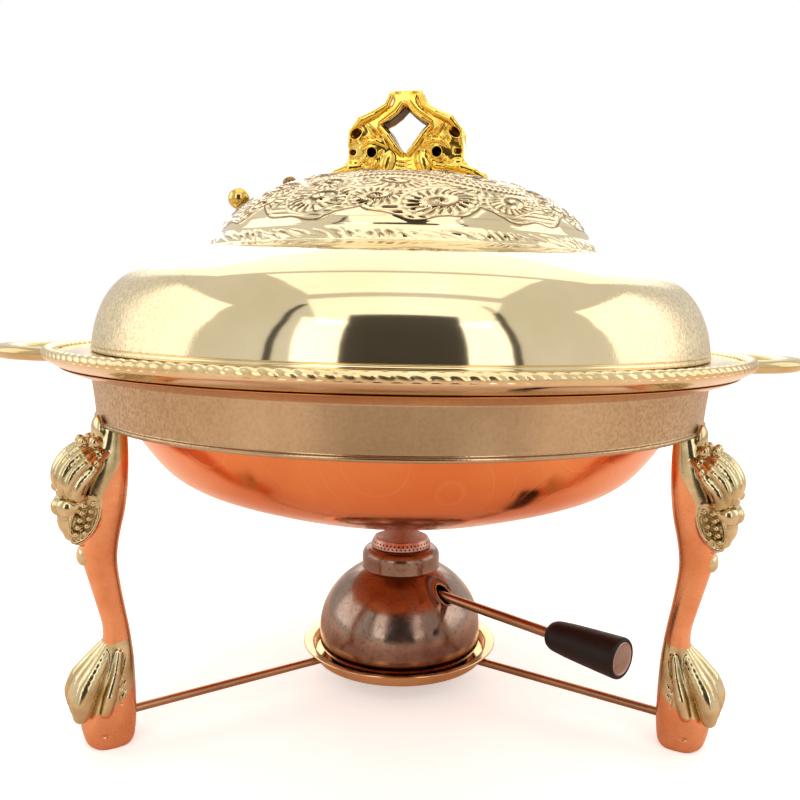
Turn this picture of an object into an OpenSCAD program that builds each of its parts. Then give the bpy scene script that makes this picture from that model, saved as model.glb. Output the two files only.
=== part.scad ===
// Round covered pot on a three-legged cast stand, kept hot by a spirit burner on a tray.
// Origin: centre of the footprint, on the surface the feet stand on.
// +Z is up, +X runs through the right-hand pan handle and -Y is the front.

/* [Stand] */
// Outer radius of the ring at its lower edge
ring_r = 160; // [158:0.5:161]
// Height of the ring band
ring_h = 22; // [20:1:24]
// Height of the ring's lower edge above the table
leg_h = 154; // [150:1:158]
// Diameter of the three rods that carry the tray
rod_d = 4.2; // [3.6:0.1:5]
// Height of the rods where they leave the feet
rod_foot_z = 13.2; // [11:0.1:15]
// Outer radius of the burner tray
tray_r = 55.2; // [54:0.1:58]

/* [Pan] */
// Radius of the centreline of the rope bead on the flange
rope_r = 181; // [179:0.5:182]
// Radius of the rope bead itself
bead_r = 2.8; // [2.2:0.1:3]
// Sheet thickness of pan, lid and ring
sheet = 1.2; // [1:0.1:1.4]
// Depth of the bowl below the flange
bowl_depth = 92.8; // [88:0.2:94]
// How far the handles stand out from the centre
handle_reach = 222; // [218:1:228]

/* [Lid] */
// Outer radius of the lid at its lower edge
lid_r = 161.6; // [160.5:0.1:163]
// Height of the lid's crown above the flange
lid_h = 91.8; // [91:0.1:93]
// Height of the cast finial
finial_h = 44.9; // [40:0.1:46]
// Turn of the finial about the vertical
finial_yaw = -12; // [-30:1:30]
// Direction of the steam vent, counted from +X
vent_angle = 172; // [120:1:240]

/* [Burner] */
// Largest radius of the burner's tank
tank_r = 46; // [44:0.5:47]
// Direction of the regulator lever, counted from +X
lever_angle = -46; // [-60:1:-30]
// Diameter of the lever's rod
lever_d = 5.2; // [4.4:0.1:5.6]
// Number of flame ports in each of the two rows
ports = 44; // [24:2:48]

/* [Hidden] */

$fn = 96;
gap = 0.3;                         // air kept between pieces that move past each other
shaft_clearance = 0.06;            // radial play of a shaft in its bore

seat_z = leg_h + ring_h;           // top of the ring band
flange_z = seat_z + 11.4;          // flat top of the pan's flange, where the lid rests
ring_top_r = ring_r + 2;
hem_z = seat_z + 4.6;              // where the pan's turned-down edge rests
crease_z = flange_z + 51.8;        // where the plain lid meets its embossed crown
crown_z = flange_z + lid_h;

leg_turns = [-150, -30, 90];       // front left, front right, back
leg_screw_r = 154.6;
foot_bore = 7;
rod_rise = 3.8;                    // the rods climb this much from foot to tray

tray_floor_z = 13.3;
tray_sheet = 0.9;
tray_well_r = 49.5;
tray_rim_z = tray_floor_z + 6.8;

tank_low_z = 28;                   // level of the tank's largest radius
tank_dome_h = 41;
tank_sheet = 1;
neck_r = 20.6;
collar_r = 22;
collar_low_z = 64.6;
collar_top_z = 75.6;
head_top_z = 81;
head_r = 16.9;
lever_z = 54.1;
grip_start = 106;
grip_end = 147;
holder_r = 11;
pinion_r = 3;                      // pitch radius
pinion_teeth = 8;

// ---------------------------------------------------------------- curves
function blend4(a, b, c, d, t) =
    0.5 * (2 * b + (c - a) * t + (2 * a - 5 * b + 4 * c - d) * t * t
        + (3 * b - a - 3 * c + d) * t * t * t);

// A smooth curve through the given points, with n steps between neighbours
function smooth(pts, n = 5) =
    let (m = len(pts) - 1)
    concat([for (i = [0 : m - 1]) for (j = [0 : n - 1])
        blend4(pts[max(i - 1, 0)], pts[i], pts[i + 1], pts[min(i + 2, m)], j / n)], [pts[m]]);

function reversed(pts) = [for (i = [len(pts) - 1 : -1 : 0]) pts[i]];

function unit(v) = v / norm(v);

// The left-hand normal of a curve at point i
function side_of(pts, i) =
    let (a = pts[max(i - 1, 0)], b = pts[min(i + 1, len(pts) - 1)], t = unit(b - a))
    [-t[1], t[0]];

// The curve moved sideways by t, never past the axis
function moved(pts, t) =
    [for (i = [0 : len(pts) - 1]) let (q = pts[i] + t * side_of(pts, i)) [max(q[0], 0), q[1]]];

function wall(pts, t) = concat(pts, reversed(moved(pts, t)));

function arc(cx, cz, r, a0, a1, n = 8) =
    [for (i = [0 : n]) let (a = a0 + (a1 - a0) * i / n) [cx + r * cos(a), cz + r * sin(a)]];

module around_z(angle) {
    rotate([0, 0, angle]) children();
}

// Lays an outline drawn as (radius, height) on the vertical plane through the axis
module upright(thickness) {
    translate([0, thickness / 2, 0])
        rotate([90, 0, 0])
            linear_extrude(thickness) children();
}

// ---------------------------------------------------------------- stand
module stand_ring() {
    color([0.80, 0.68, 0.50])
    rotate_extrude()
        polygon(concat(
            [[ring_r - sheet, leg_h], [ring_r, leg_h]],
            arc(ring_r, leg_h + 1.5, 1.1, -60, 90, 6),
            [[ring_top_r, seat_z], [ring_top_r - sheet, seat_z]]
        ));
}

// Flared seat on top of the ring; the pan's turned-down edge rests on its rim
module seat_flange() {
    color([0.82, 0.60, 0.42])
    rotate_extrude()
        polygon([
            [ring_top_r - sheet, seat_z], [ring_top_r + 0.6, seat_z],
            [ring_top_r + 4, seat_z + 0.5], [172, seat_z + 2.6],
            [176, hem_z - 1], [176, hem_z], [173.4, hem_z],
            [170.5, seat_z + 3.8], [ring_top_r + 3, seat_z + 1.8], [ring_top_r - sheet, seat_z + 1.4]
        ]);
}

leg_outer = [
    [164, 154], [171, 146], [178, 142.5], [182.4, 136], [183.6, 129.5], [182, 124.5],
    [183.6, 118.5], [182, 112], [178, 104.5], [173.4, 98.5], [172.6, 92], [169.6, 82],
    [166, 70], [163.6, 58], [163.8, 50], [168, 43], [175, 36.5], [180.4, 30], [181.4, 25],
    [179.6, 18.5], [176, 13], [175, 7], [173.4, 2], [170.5, 0]
];
leg_inner = [
    [152, 0], [150.4, 4], [149.6, 20], [149.6, 35], [150.4, 48], [152.6, 62], [154.4, 76],
    [155.8, 88], [155.8, 96], [154, 106], [151.4, 118], [150, 132], [149.6, 144], [149.6, 154]
];
leg_half = [
    [11, 0], [12.2, 4], [11.6, 11], [12.8, 20], [12.8, 29], [10.4, 38], [7.6, 48], [6.6, 60],
    [7, 75], [7.8, 89], [8.8, 98], [11, 105], [13.4, 114], [14, 124], [13.6, 133], [12, 142],
    [9.6, 149], [9, 154]
];

function raised(pts) = [for (p = pts) [p[0], p[1] * leg_h / 154]];

module leg(turn) {
    color([0.80, 0.55, 0.36])
    around_z(turn)
    difference() {
        intersection() {
            upright(40) polygon(concat(smooth(raised(leg_outer), 2), smooth(raised(leg_inner), 2)));
            translate([140, 0, 0])
                rotate([90, 0, 90])
                    linear_extrude(50) polygon(concat(
                        smooth(raised(leg_half), 2),
                        reversed([for (p = smooth(raised(leg_half), 2)) [-p[0], p[1]]])
                    ));
        }
        rod_line() translate([0, 0, -foot_bore]) cylinder(d = rod_d, h = foot_bore + 10);
        translate([leg_screw_r, 0, leg_h - 9]) cylinder(d = 4, h = 20);
    }
}

// Straight lug brazed inside the ring above each leg
module leg_brackets() {
    color([0.62, 0.50, 0.36])
    for (turn = leg_turns)
        around_z(turn)
        difference() {
            rotate([0, 0, -3.4])
                rotate_extrude(angle = 6.8)
                    polygon([
                        [150.8, leg_h], [ring_r - sheet, leg_h],
                        [ring_r - sheet + 2 * 12 / ring_h, leg_h + 12],
                        [ring_r - 2 * sheet + 2 * 12 / ring_h, leg_h + 12],
                        [ring_r - 2 * sheet, leg_h + 1.6], [150.8, leg_h + 1.6]
                    ]);
            translate([leg_screw_r, 0, leg_h - 1]) cylinder(d = 4, h = 4);
        }
}

module leg_screws() {
    color([0.70, 0.70, 0.72])
    for (turn = leg_turns)
        around_z(turn)
        translate([leg_screw_r, 0, 0])
        difference() {
            union() {
                translate([0, 0, leg_h - 8.4]) cylinder(d = 4, h = 8.4 + 1.6);
                translate([0, 0, leg_h + 1.6]) cylinder(r = 2.8, h = 1.8);
            }
            translate([-3.2, -0.5, leg_h + 2.4]) cube([6.4, 1, 2]);
        }
}

// Places its child on the centreline of a rod, at the foot's inner face
module rod_line() {
    translate([149.6, 0, rod_foot_z])
        rotate([0, -90 + atan(rod_rise / 98), 0])
            children();
}

module tray_solid() {
    rotate_extrude()
        polygon([
            [0, tray_floor_z - tray_sheet], [tray_well_r - 2.4, tray_floor_z - tray_sheet],
            [tray_well_r + 0.2, tray_floor_z + 1.6], [tray_well_r + 0.9, tray_rim_z - 1.2],
            [tray_well_r + 2, tray_rim_z - tray_sheet], [tray_r - 1, tray_rim_z - tray_sheet + 0.5],
            [tray_r, tray_rim_z], [tray_r - 0.6, tray_rim_z + 0.9], [0, tray_rim_z + 0.9]
        ]);
}

module burner_tray() {
    color([0.84, 0.62, 0.42])
    difference() {
        tray_solid();
        rotate_extrude()
            polygon([
                [0, tray_floor_z], [tray_well_r - 2.8, tray_floor_z],
                [tray_well_r - 0.7, tray_floor_z + 2], [tray_well_r, tray_rim_z - 0.8],
                [tray_well_r + 1.4, tray_rim_z], [tray_r - 1.6, tray_rim_z + 0.3],
                [tray_r - 2, tray_rim_z + 2], [0, tray_rim_z + 2]
            ]);
    }
}

module rod(turn) {
    color([0.55, 0.35, 0.24])
    around_z(turn)
    difference() {
        rod_line() translate([0, 0, -foot_bore]) cylinder(d = rod_d, h = foot_bore + 102);
        tray_solid();
        translate([0, 0, -5]) cylinder(r = tray_well_r - 1, h = 40);
    }
}

// ---------------------------------------------------------------- pan
bowl_curve = smooth([
    [0, 0], [25, 1], [50, 4.3], [75, 10.2], [98, 17.6], [114, 23.8], [124, 29.8], [131, 36.6],
    [139, 47.4], [148.4, 62.4], [156, 77.4], [159, 84.8], [159.2, bowl_depth - 2]
], 4);
bowl_z = flange_z - bowl_depth;
bowl_outer = [for (p = bowl_curve) [p[0], p[1] + bowl_z]];

module rope_rim() {
    color([0.90, 0.82, 0.62])
    rotate_extrude() translate([rope_r, flange_z - 0.2]) circle(r = bead_r);
}

module pan_bowl() {
    color([0.87, 0.48, 0.28])
    difference() {
        rotate_extrude()
            polygon(concat(
                bowl_outer,
                [
                    [160.6, flange_z - sheet], [176.4, flange_z - sheet], [177.4, flange_z - 2.2],
                    [173.6, hem_z + 0.9], [173.6, hem_z], [176, hem_z], [rope_r + 1.2, flange_z - 2.6],
                    [rope_r + 0.4, flange_z - 0.2], [rope_r, flange_z - 0.2],
                    [rope_r - 1, flange_z + 0.3], [rope_r - 3, flange_z], [159.6, flange_z]
                ],
                reversed([for (p = moved(bowl_outer, sheet)) if (p[1] < flange_z - 1) p])
            ));
        rope_rim();
    }
}

// Half-ellipse loop that stands out below the rope bead
module pan_handle() {
    outer_half = 43;
    bar = 11;
    foot_x = 172;
    color([0.88, 0.80, 0.62])
    difference() {
        translate([0, 0, hem_z - 0.4])
            linear_extrude(7.6)
                difference() {
                    polygon([for (a = [-90 : 5 : 90])
                        [foot_x + (handle_reach - foot_x) * cos(a), outer_half * sin(a)]]);
                    polygon([for (a = [-90 : 5 : 90])
                        [foot_x + (handle_reach - bar - foot_x) * cos(a), (outer_half - bar) * sin(a)]]);
                }
        pan_outline();
    }
}

// Everything inside the pan's flange, used to trim the handles to it
module pan_outline() {
    rotate_extrude()
        polygon([
            [0, leg_h], [176, leg_h], [176, hem_z], [rope_r + 1.2, flange_z - 2.6],
            [rope_r + 1.2, flange_z + 6], [0, flange_z + 6]
        ]);
    rope_rim();
}

module handle_right() { pan_handle(); }

module handle_left() { around_z(180) pan_handle(); }

// ---------------------------------------------------------------- lid
lid_side = smooth([
    [lid_r, 0.15], [lid_r - 0.6, 6.5], [lid_r - 1.8, 12.4], [lid_r - 3.6, 18.2], [lid_r - 6.6, 25],
    [lid_r - 11.2, 31.6], [144.5, 36.8], [134, 42], [121, 47.2], [110, 50.6], [104.4, 51.8]
], 3);
lid_crown = smooth([
    [104.4, 51.8], [101.2, 55.6], [98, 60], [94.2, 65.2], [89.6, 70.2], [83, 75.4],
    [75, 80], [65.6, 83.9], [54, 87.2], [40, lid_h - 2], [24, lid_h - 0.4], [12, lid_h]
], 3);
lid_curve = concat(lid_side, [for (i = [1 : len(lid_crown) - 1]) lid_crown[i]], [[0, lid_h]]);
lid_outer = [for (p = lid_curve) [p[0], p[1] + flange_z]];

vent_r = 63;                       // distance of the vent's pivot from the axis
vent_lift = flange_z + 84.9;       // its height on the crown
vent_tilt = 20;                    // slope of the crown there

// Places its child on the crown at the vent's pivot, square to the surface
module at_vent() {
    around_z(vent_angle)
        translate([vent_r, 0, vent_lift])
            rotate([0, vent_tilt, 0])
                children();
}

module lid_wall() {
    rotate_extrude() polygon(wall(lid_outer, sheet));
}

// The part of the lid's wall between two radii
module lid_zone(inner_r, outer_r) {
    rotate_extrude() intersection() {
        polygon(wall(lid_outer, sheet));
        translate([inner_r, 0]) square([outer_r - inner_r, crown_z + 10]);
    }
}

shoulder_r = 147;                  // where the side turns into the shoulder
crease_r = 104;                    // where the shoulder meets the crown

module lid_skirt() {
    color([0.92, 0.86, 0.68]) lid_zone(shoulder_r, lid_r + 5);
}

module lid_shoulder() {
    color([0.92, 0.86, 0.68]) lid_zone(crease_r, shoulder_r);
}

module lid_crown() {
    color([0.92, 0.86, 0.68])
    difference() {
        lid_zone(0, crease_r);
        translate([0, 0, crown_z - 8]) cylinder(r = 2.6, h = 12);
        at_vent() translate([0, 0, -8]) cylinder(r = 1.6, h = 14);
        for (x = [18, 24, 30]) at_vent() translate([x, 0, -14]) cylinder(r = 1.6, h = 18);
    }
}

// Inner lip that drops into the pan's mouth and keeps the lid central
module lid_locating_ring() {
    color([0.88, 0.82, 0.66])
    difference() {
        rotate_extrude()
            polygon([
                [156.2, flange_z - 5], [157.2, flange_z - 5], [157.2, flange_z + 1.6],
                [lid_r - 0.6, flange_z + 1.6], [lid_r - 0.6, flange_z + 2.6], [156.2, flange_z + 2.6]
            ]);
        lid_wall();
    }
}

// Half outline of the finial, drawn for a height of 42.5
finial_side = smooth([
    [41.8, -3.4], [41.5, -1], [36, 3.4], [31.4, 5.2], [29.4, 9], [29.6, 13.5], [27.4, 18.5], [27, 24],
    [22, 29], [14.6, 32], [9.4, 35.6], [7.4, 38.6], [8.6, 41.6], [8, 42.6]
], 3);
diamond = smooth([[0, 12], [4.6, 18], [10.8, 25.4], [5.4, 29], [0, 33.6]], 3);

module mirrored_outline(side) {
    polygon(concat([for (p = side) [p[0], p[1]]], reversed([for (p = side) [-p[0], p[1]]])));
}

module finial() {
    finial_depth = 13;
    color([0.90, 0.70, 0.22])
    difference() {
        union() {
            around_z(finial_yaw) translate([0, 0, crown_z - 0.1]) scale(finial_h / 42.5) difference() {
                upright(finial_depth) mirrored_outline(finial_side);
                upright(finial_depth + 2) mirrored_outline(diamond);
                for (s = [-1, 1])
                    translate([s * 16, 0, 11.6]) rotate([90, 0, 0])
                        cylinder(r = 2.2, h = finial_depth + 2, center = true);
            }
            translate([0, 0, crown_z]) cylinder(r = 10, h = 8);
        }
        rotate_extrude()
            polygon(concat([for (p = moved(lid_outer, -0.4)) if (p[0] > 12) p],
                [[10, crown_z + 0.4], [10, crown_z], [0, crown_z], [0, flange_z]]));
        translate([0, 0, crown_z - 1]) cylinder(d = 5, h = 10);
    }
}

module finial_washer() {
    color([0.72, 0.72, 0.74])
    translate([0, 0, crown_z - sheet - 1])
        difference() {
            cylinder(r = 8, h = 1);
            translate([0, 0, -1]) cylinder(r = 2.6, h = 3);
        }
}

module finial_screw() {
    color([0.70, 0.70, 0.72])
    difference() {
        union() {
            translate([0, 0, crown_z - sheet - 1]) cylinder(d = 5, h = 8.6 + sheet + 1);
            translate([0, 0, crown_z - sheet - 4]) cylinder(r = 4.4, h = 3);
        }
        translate([-5, -0.6, crown_z - sheet - 5]) cube([10, 1.2, 2.2]);
    }
}

// ---------------------------------------------------------------- steam vent
plate_gap = 2.8;                    // clear of the raised work on the crown
plate_sheet = 1;
knob_r = 6;
knob_h = 11.2;                      // height of the knob's centre above the crown

module vent_pivot() {
    color([0.80, 0.64, 0.34])
    at_vent() {
        translate([0, 0, -5]) cylinder(r = 1.6, h = plate_gap + plate_sheet + 7);
        translate([0, 0, plate_gap + plate_sheet + 0.5]) cylinder(r = 3.6, h = 4.2);
        translate([0, 0, 0.45]) cylinder(r = 2.8, h = plate_gap - 0.95);
    }
}

module vent_washer() {
    color([0.72, 0.72, 0.74])
    at_vent() translate([0, 0, -3.6])
        difference() {
            cylinder(r = 4.2, h = 1.2);
            translate([0, 0, -1]) cylinder(r = 1.6, h = 4);
        }
}

module plate_outline() {
    hull() {
        circle(r = 6);
        translate([20, 0]) circle(r = 8);
        translate([36, 0]) circle(r = 5.5);
    }
}

module vent_plate() {
    color([0.72, 0.62, 0.44])
    intersection() {
        rotate_extrude()
            polygon(concat(moved(lid_outer, -plate_gap - plate_sheet), reversed(moved(lid_outer, -plate_gap))));
        at_vent() difference() {
            translate([0, 0, -16]) linear_extrude(30) plate_outline();
            translate([0, 0, -20]) cylinder(r = 1.6 + shaft_clearance, h = 40);
            knob_axis() translate([0, 0, -6]) cylinder(r = 1.4, h = 12);
        }
    }
}

// Axis of the knob, square to the plate
module knob_axis() {
    translate([26.8, 0, -3.6]) rotate([0, 17, 0]) children();
}

module vent_knob() {
    color([0.88, 0.68, 0.24])
    difference() {
        at_vent() knob_axis() {
            cylinder(r = 1.4, h = plate_gap + 3);
            translate([0, 0, plate_gap + plate_sheet]) cylinder(r = 2.4, h = 2.6);
            translate([0, 0, knob_h]) sphere(r = knob_r);
        }
        rotate_extrude()
            polygon(concat([[0, flange_z]], moved(lid_outer, -plate_gap)));
    }
}

// ---------------------------------------------------------------- burner
tank_curve = concat(
    arc(tank_r - 8, tray_floor_z + 1 + 8, 8, -90, 0, 6),
    [for (a = [0 : 5 : 60]) [tank_r * cos(a), tank_low_z + tank_dome_h * sin(a)]]
);
tank_outer = concat(
    [for (p = tank_curve) if (p[0] > neck_r) p],
    [[neck_r, 65.2], [neck_r, 69]]
);

module burner_tank() {
    color([0.76, 0.70, 0.66])
    difference() {
        rotate_extrude() polygon(wall(tank_outer, tank_sheet));
        lever_axis() translate([-0.8, 0, 20]) cylinder(r = 4.4, h = 40);
    }
}

module burner_base() {
    color([0.70, 0.66, 0.62])
    translate([0, 0, tray_floor_z]) cylinder(r = tank_r - 8.2, h = 1 + tank_sheet);
}

module burner_collar() {
    color([0.78, 0.72, 0.68])
    difference() {
        rotate_extrude()
            polygon(concat(
                [[neck_r, collar_low_z + 0.9], [collar_r, collar_low_z]],
                arc(collar_r - 4.5, collar_top_z - 4.5, 4.5, 0, 90, 8),
                [[holder_r + gap, collar_top_z], [holder_r + gap, collar_top_z - 1.2],
                    [collar_r - 4.6, collar_top_z - 1.2], [collar_r - 2.2, 70.4], [neck_r, 69.4]]
            ));
    }
}

module port_rows() {
    for (row = [0, 1])
        for (i = [0 : ports - 1])
            rotate([0, 0, (i + row / 2) * 360 / ports])
                translate([12.4, 0, collar_top_z + 1.7 + 1.75 * row])
                    rotate([0, 90, 0]) cylinder(r = 0.5, h = 6, $fn = 16);
}

module burner_head() {
    color([0.60, 0.40, 0.32])
    difference() {
        rotate_extrude()
            polygon([
                [13, collar_top_z], [head_r - 0.5, collar_top_z], [head_r, collar_top_z + 0.6],
                [head_r - 0.1, collar_top_z + 2.5], [head_r - 1.4, head_top_z - 0.2],
                [head_r - 1.9, head_top_z], [0, head_top_z], [0, head_top_z - 1.2],
                [13.4, head_top_z - 1.2], [14.4, collar_top_z + 2.6], [14.4, collar_top_z + 0.8],
                [13, collar_top_z + 0.8]
            ]);
        port_rows();
    }
}

// Lower guide of the sliding wick holder, open at the foot so the fuel reaches the wick
module wick_guide() {
    color([0.72, 0.70, 0.68])
    translate([0, 0, tray_floor_z + 2])
    difference() {
        cylinder(r = holder_r + 1.4, h = 20);
        translate([0, 0, -1]) cylinder(r = holder_r + shaft_clearance, h = 22);
        for (a = [45, 135, 225, 315])
            rotate([0, 0, a]) translate([6, -3, -1]) cube([10, 6, 5]);
    }
}

// Lays its child along the lever, with +Z pointing outwards from the burner's axis
module lever_axis() {
    around_z(lever_angle)
        translate([0, 0, lever_z])
            rotate([0, 90, 0])
                children();
}

// Plate hung from the collar that carries the inner end of the lever
module lever_bearing() {
    color([0.72, 0.70, 0.68])
    difference() {
        around_z(lever_angle) translate([17.2, -4, lever_z - 5]) cube([1.8, 8, 21.7]);
        lever_axis() cylinder(d = lever_d - 1.2 + 2 * shaft_clearance, h = 40);
    }
}

module lever_rod() {
    color([0.52, 0.34, 0.24])
    lever_axis() {
        translate([0, 0, 11.8]) cylinder(r = 1.3, h = 4.2);
        translate([0, 0, 16]) cylinder(d = lever_d - 1.2, h = 4.2);
        translate([0, 0, 20.2]) cylinder(d = lever_d, h = grip_end - 10 - 20.2);
    }
}

module gear_outline(pitch, teeth) {
    polygon([for (i = [0 : teeth - 1]) for (k = [0 : 3])
        let (a = (i + [0.08, 0.34, 0.58, 0.92][k]) * 360 / teeth - 0.21 * 360 / teeth,
            r = pitch + [0.62, 0.62, -0.75, -0.75][k])
        [r * cos(a), r * sin(a)]]);
}

module pinion() {
    color([0.80, 0.66, 0.36])
    lever_axis() translate([0, 0, 12])
        difference() {
            linear_extrude(3.6) rotate([0, 0, 90 + 180 / pinion_teeth]) gear_outline(pinion_r, pinion_teeth);
            translate([0, 0, -1]) cylinder(r = 1.3, h = 6);
        }
}

module lever_grip() {
    color([0.12, 0.08, 0.08])
    lever_axis()
    difference() {
        rotate_extrude()
            polygon(concat(
                [[0, grip_start]], arc(3.4, grip_start + 3.6, 3.6, -90, -10, 6),
                arc(7.9, grip_end - 1.8, 1.8, 0, 60, 4), [[8.1, grip_end - 0.2], [0, grip_end - 0.2]]
            ));
        cylinder(d = lever_d, h = grip_end - 10);
        translate([0, 0, grip_end - 1]) cylinder(r = 8, h = 2);
    }
}

module grip_cap() {
    color([0.74, 0.68, 0.68])
    lever_axis() translate([0, 0, grip_end - 1]) cylinder(r = 8, h = 1);
}

wick_low_z = 17;
holder_low_z = 21;
holder_top_z = 66.4;

module wick_holder() {
    color([0.78, 0.76, 0.74])
    translate([0, 0, holder_low_z])
    difference() {
        cylinder(r = holder_r, h = holder_top_z - holder_low_z);
        translate([0, 0, -1]) cylinder(r = holder_r - 0.8, h = holder_top_z - holder_low_z + 2);
    }
}

// Toothed bar beside the pinion, soldered to the wick holder
module wick_rack() {
    pitch = 2 * PI * pinion_r / pinion_teeth;
    rack_low = lever_z - 3.5 * pitch - 9;
    rack_face = -pinion_r - 0.86;
    teeth = 9;
    color([0.80, 0.66, 0.36])
    around_z(lever_angle)
    difference() {
        translate([8, 0, 0]) rotate([90, 0, 90]) linear_extrude(7.2)
            polygon(concat(
                [[-7.2, rack_low], [rack_face, rack_low]],
                [for (i = [0 : teeth - 1]) for (k = [0 : 3])
                    [rack_face + [0, 1.37, 1.37, 0][k],
                        lever_z + (i - 5.5 + [0.12, 0.36, 0.64, 0.88][k]) * pitch]],
                [[rack_face, lever_z + 3.6 * pitch], [-7.2, lever_z + 3.6 * pitch]]
            ));
        translate([0, 0, 10]) cylinder(r = holder_r, h = 80);
    }
}

module wick() {
    color([0.92, 0.90, 0.84])
    translate([0, 0, wick_low_z]) cylinder(r = holder_r - 0.8, h = 52);
}

// ---------------------------------------------------------------- output
stand_ring();
seat_flange();
leg(leg_turns[0]);  // leg_front_left
leg(leg_turns[1]);  // leg_front_right
leg(leg_turns[2]);  // leg_back
leg_brackets();
leg_screws();
rod(leg_turns[0]);  // rod_front_left
rod(leg_turns[1]);  // rod_front_right
rod(leg_turns[2]);  // rod_back
burner_tray();
pan_bowl();
rope_rim();
handle_left();
handle_right();
lid_skirt();
lid_shoulder();
lid_crown();
lid_locating_ring();
finial();
finial_washer();
finial_screw();
vent_pivot();
vent_washer();
vent_plate();
vent_knob();
burner_tank();
burner_base();
burner_collar();
burner_head();
wick_guide();
lever_bearing();
lever_rod();
pinion();
lever_grip();
grip_cap();
wick_holder();
wick_rack();
wick();
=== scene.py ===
import math

import bmesh
import bpy
import numpy as np
import openvdb
from mathutils import Matrix, Vector


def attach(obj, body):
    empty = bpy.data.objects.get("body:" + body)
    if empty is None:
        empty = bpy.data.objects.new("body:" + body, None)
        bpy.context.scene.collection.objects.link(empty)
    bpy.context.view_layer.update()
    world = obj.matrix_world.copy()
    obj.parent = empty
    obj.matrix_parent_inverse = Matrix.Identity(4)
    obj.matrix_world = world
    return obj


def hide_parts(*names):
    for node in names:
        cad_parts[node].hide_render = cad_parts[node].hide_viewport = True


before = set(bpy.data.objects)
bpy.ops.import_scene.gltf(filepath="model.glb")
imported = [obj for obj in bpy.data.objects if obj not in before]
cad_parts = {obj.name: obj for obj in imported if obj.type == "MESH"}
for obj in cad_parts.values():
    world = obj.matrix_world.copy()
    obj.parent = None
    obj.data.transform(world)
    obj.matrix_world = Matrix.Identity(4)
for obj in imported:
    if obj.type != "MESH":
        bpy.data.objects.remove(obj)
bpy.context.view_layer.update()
MM = 0.001


# ------------------------------------------------------------------ shapes
def smooth_line(points, steps=6):
    """A smooth curve through the points, as an array of rows."""
    p = np.array(points, float)
    first, last = 2 * p[0] - p[1], 2 * p[-1] - p[-2]
    q = np.vstack([first, p, last])
    out = []
    for i in range(1, len(q) - 2):
        a, b, c, d = q[i - 1], q[i], q[i + 1], q[i + 2]
        for k in range(steps):
            t = k / steps
            out.append(0.5 * (2 * b + (c - a) * t + (2 * a - 5 * b + 4 * c - d) * t * t
                              + (3 * b - a - 3 * c + d) * t ** 3))
    out.append(p[-1])
    return np.array(out)


def offset_line(line, distance):
    """The curve moved to its left by distance, kept off the far side of the axis."""
    step = np.gradient(line, axis=0)
    step /= np.linalg.norm(step, axis=1)[:, None] + 1e-12
    moved = line + distance * np.stack([-step[:, 1], step[:, 0]], 1)
    moved[:, 0] = np.maximum(moved[:, 0], 0)
    return moved


def make_object(name, verts, faces, material, body, nodes=()):
    """A mesh piece, given in millimetres, that rides on a body and stands for the CAD nodes."""
    mesh = bpy.data.meshes.new(name)
    mesh.from_pydata((np.asarray(verts) * MM).tolist(), [], [tuple(int(i) for i in f) for f in faces])
    mesh.validate()
    mesh.shade_smooth()
    obj = bpy.data.objects.new(name, mesh)
    bpy.context.scene.collection.objects.link(obj)
    if material:
        obj.data.materials.append(material)
    if body:
        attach(obj, body)
    if nodes:
        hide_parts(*nodes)
    return obj


def grid_faces(rows, cols, close_rows, close_cols):
    """Four-sided faces over a grid of points, closed round on itself where asked."""
    r = np.arange(rows if close_rows else rows - 1)
    c = np.arange(cols if close_cols else cols - 1)
    i, j = np.meshgrid(r, c, indexing="ij")
    i2, j2 = (i + 1) % rows, (j + 1) % cols
    quads = np.stack([i * cols + j, i2 * cols + j, i2 * cols + j2, i * cols + j2], -1)
    return quads.reshape(-1, 4)


def revolve(name, line, material, body, nodes=(), turns=192, closed=True):
    """Turns a (radius, height) outline about Z. An outline that starts and ends on the axis isn't closed."""
    line = np.array(line, float)
    a = np.arange(turns) * 2 * math.pi / turns
    verts = np.stack([np.outer(line[:, 0], np.cos(a)), np.outer(line[:, 0], np.sin(a)),
                      np.repeat(line[:, 1][:, None], turns, 1)], -1).reshape(-1, 3)
    faces = grid_faces(len(line), turns, closed, True)
    return weld(make_object(name, verts, faces, material, body, nodes))


def weld(obj, distance=1e-7):
    """Joins points that coincide and turns the faces outwards."""
    bm = bmesh.new()
    bm.from_mesh(obj.data)
    bmesh.ops.remove_doubles(bm, verts=bm.verts, dist=distance)
    bmesh.ops.dissolve_degenerate(bm, edges=bm.edges, dist=distance)
    bmesh.ops.recalc_face_normals(bm, faces=bm.faces)
    bm.to_mesh(obj.data)
    bm.free()
    return obj


def sweep(name, path, sizes, material, body, nodes=(), sides=20, power=2.0, closed=False, up=(0, 0, 1)):
    """A bar along path. sizes is its half width and half height at each point; power squares it off."""
    path, sizes, up = np.array(path, float), np.array(sizes, float), np.array(up, float)
    if closed:
        step = np.roll(path, -1, 0) - np.roll(path, 1, 0)
    else:
        step = np.gradient(path, axis=0)
    step /= np.linalg.norm(step, axis=1)[:, None]
    side = np.cross(step, up)
    side /= np.linalg.norm(side, axis=1)[:, None]
    top = np.cross(side, step)
    a = np.arange(sides) * 2 * math.pi / sides
    ca, sa = np.cos(a), np.sin(a)
    ca, sa = np.sign(ca) * abs(ca) ** (2 / power), np.sign(sa) * abs(sa) ** (2 / power)
    verts = (path[:, None] + side[:, None] * (sizes[:, :1] * ca)[..., None]
             + top[:, None] * (sizes[:, 1:] * sa)[..., None]).reshape(-1, 3)
    faces = list(grid_faces(len(path), sides, closed, True))
    if not closed:
        faces += [tuple(range(sides))[::-1], tuple(range((len(path) - 1) * sides, len(path) * sides))]
    return make_object(name, verts, faces, material, body, nodes)


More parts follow.
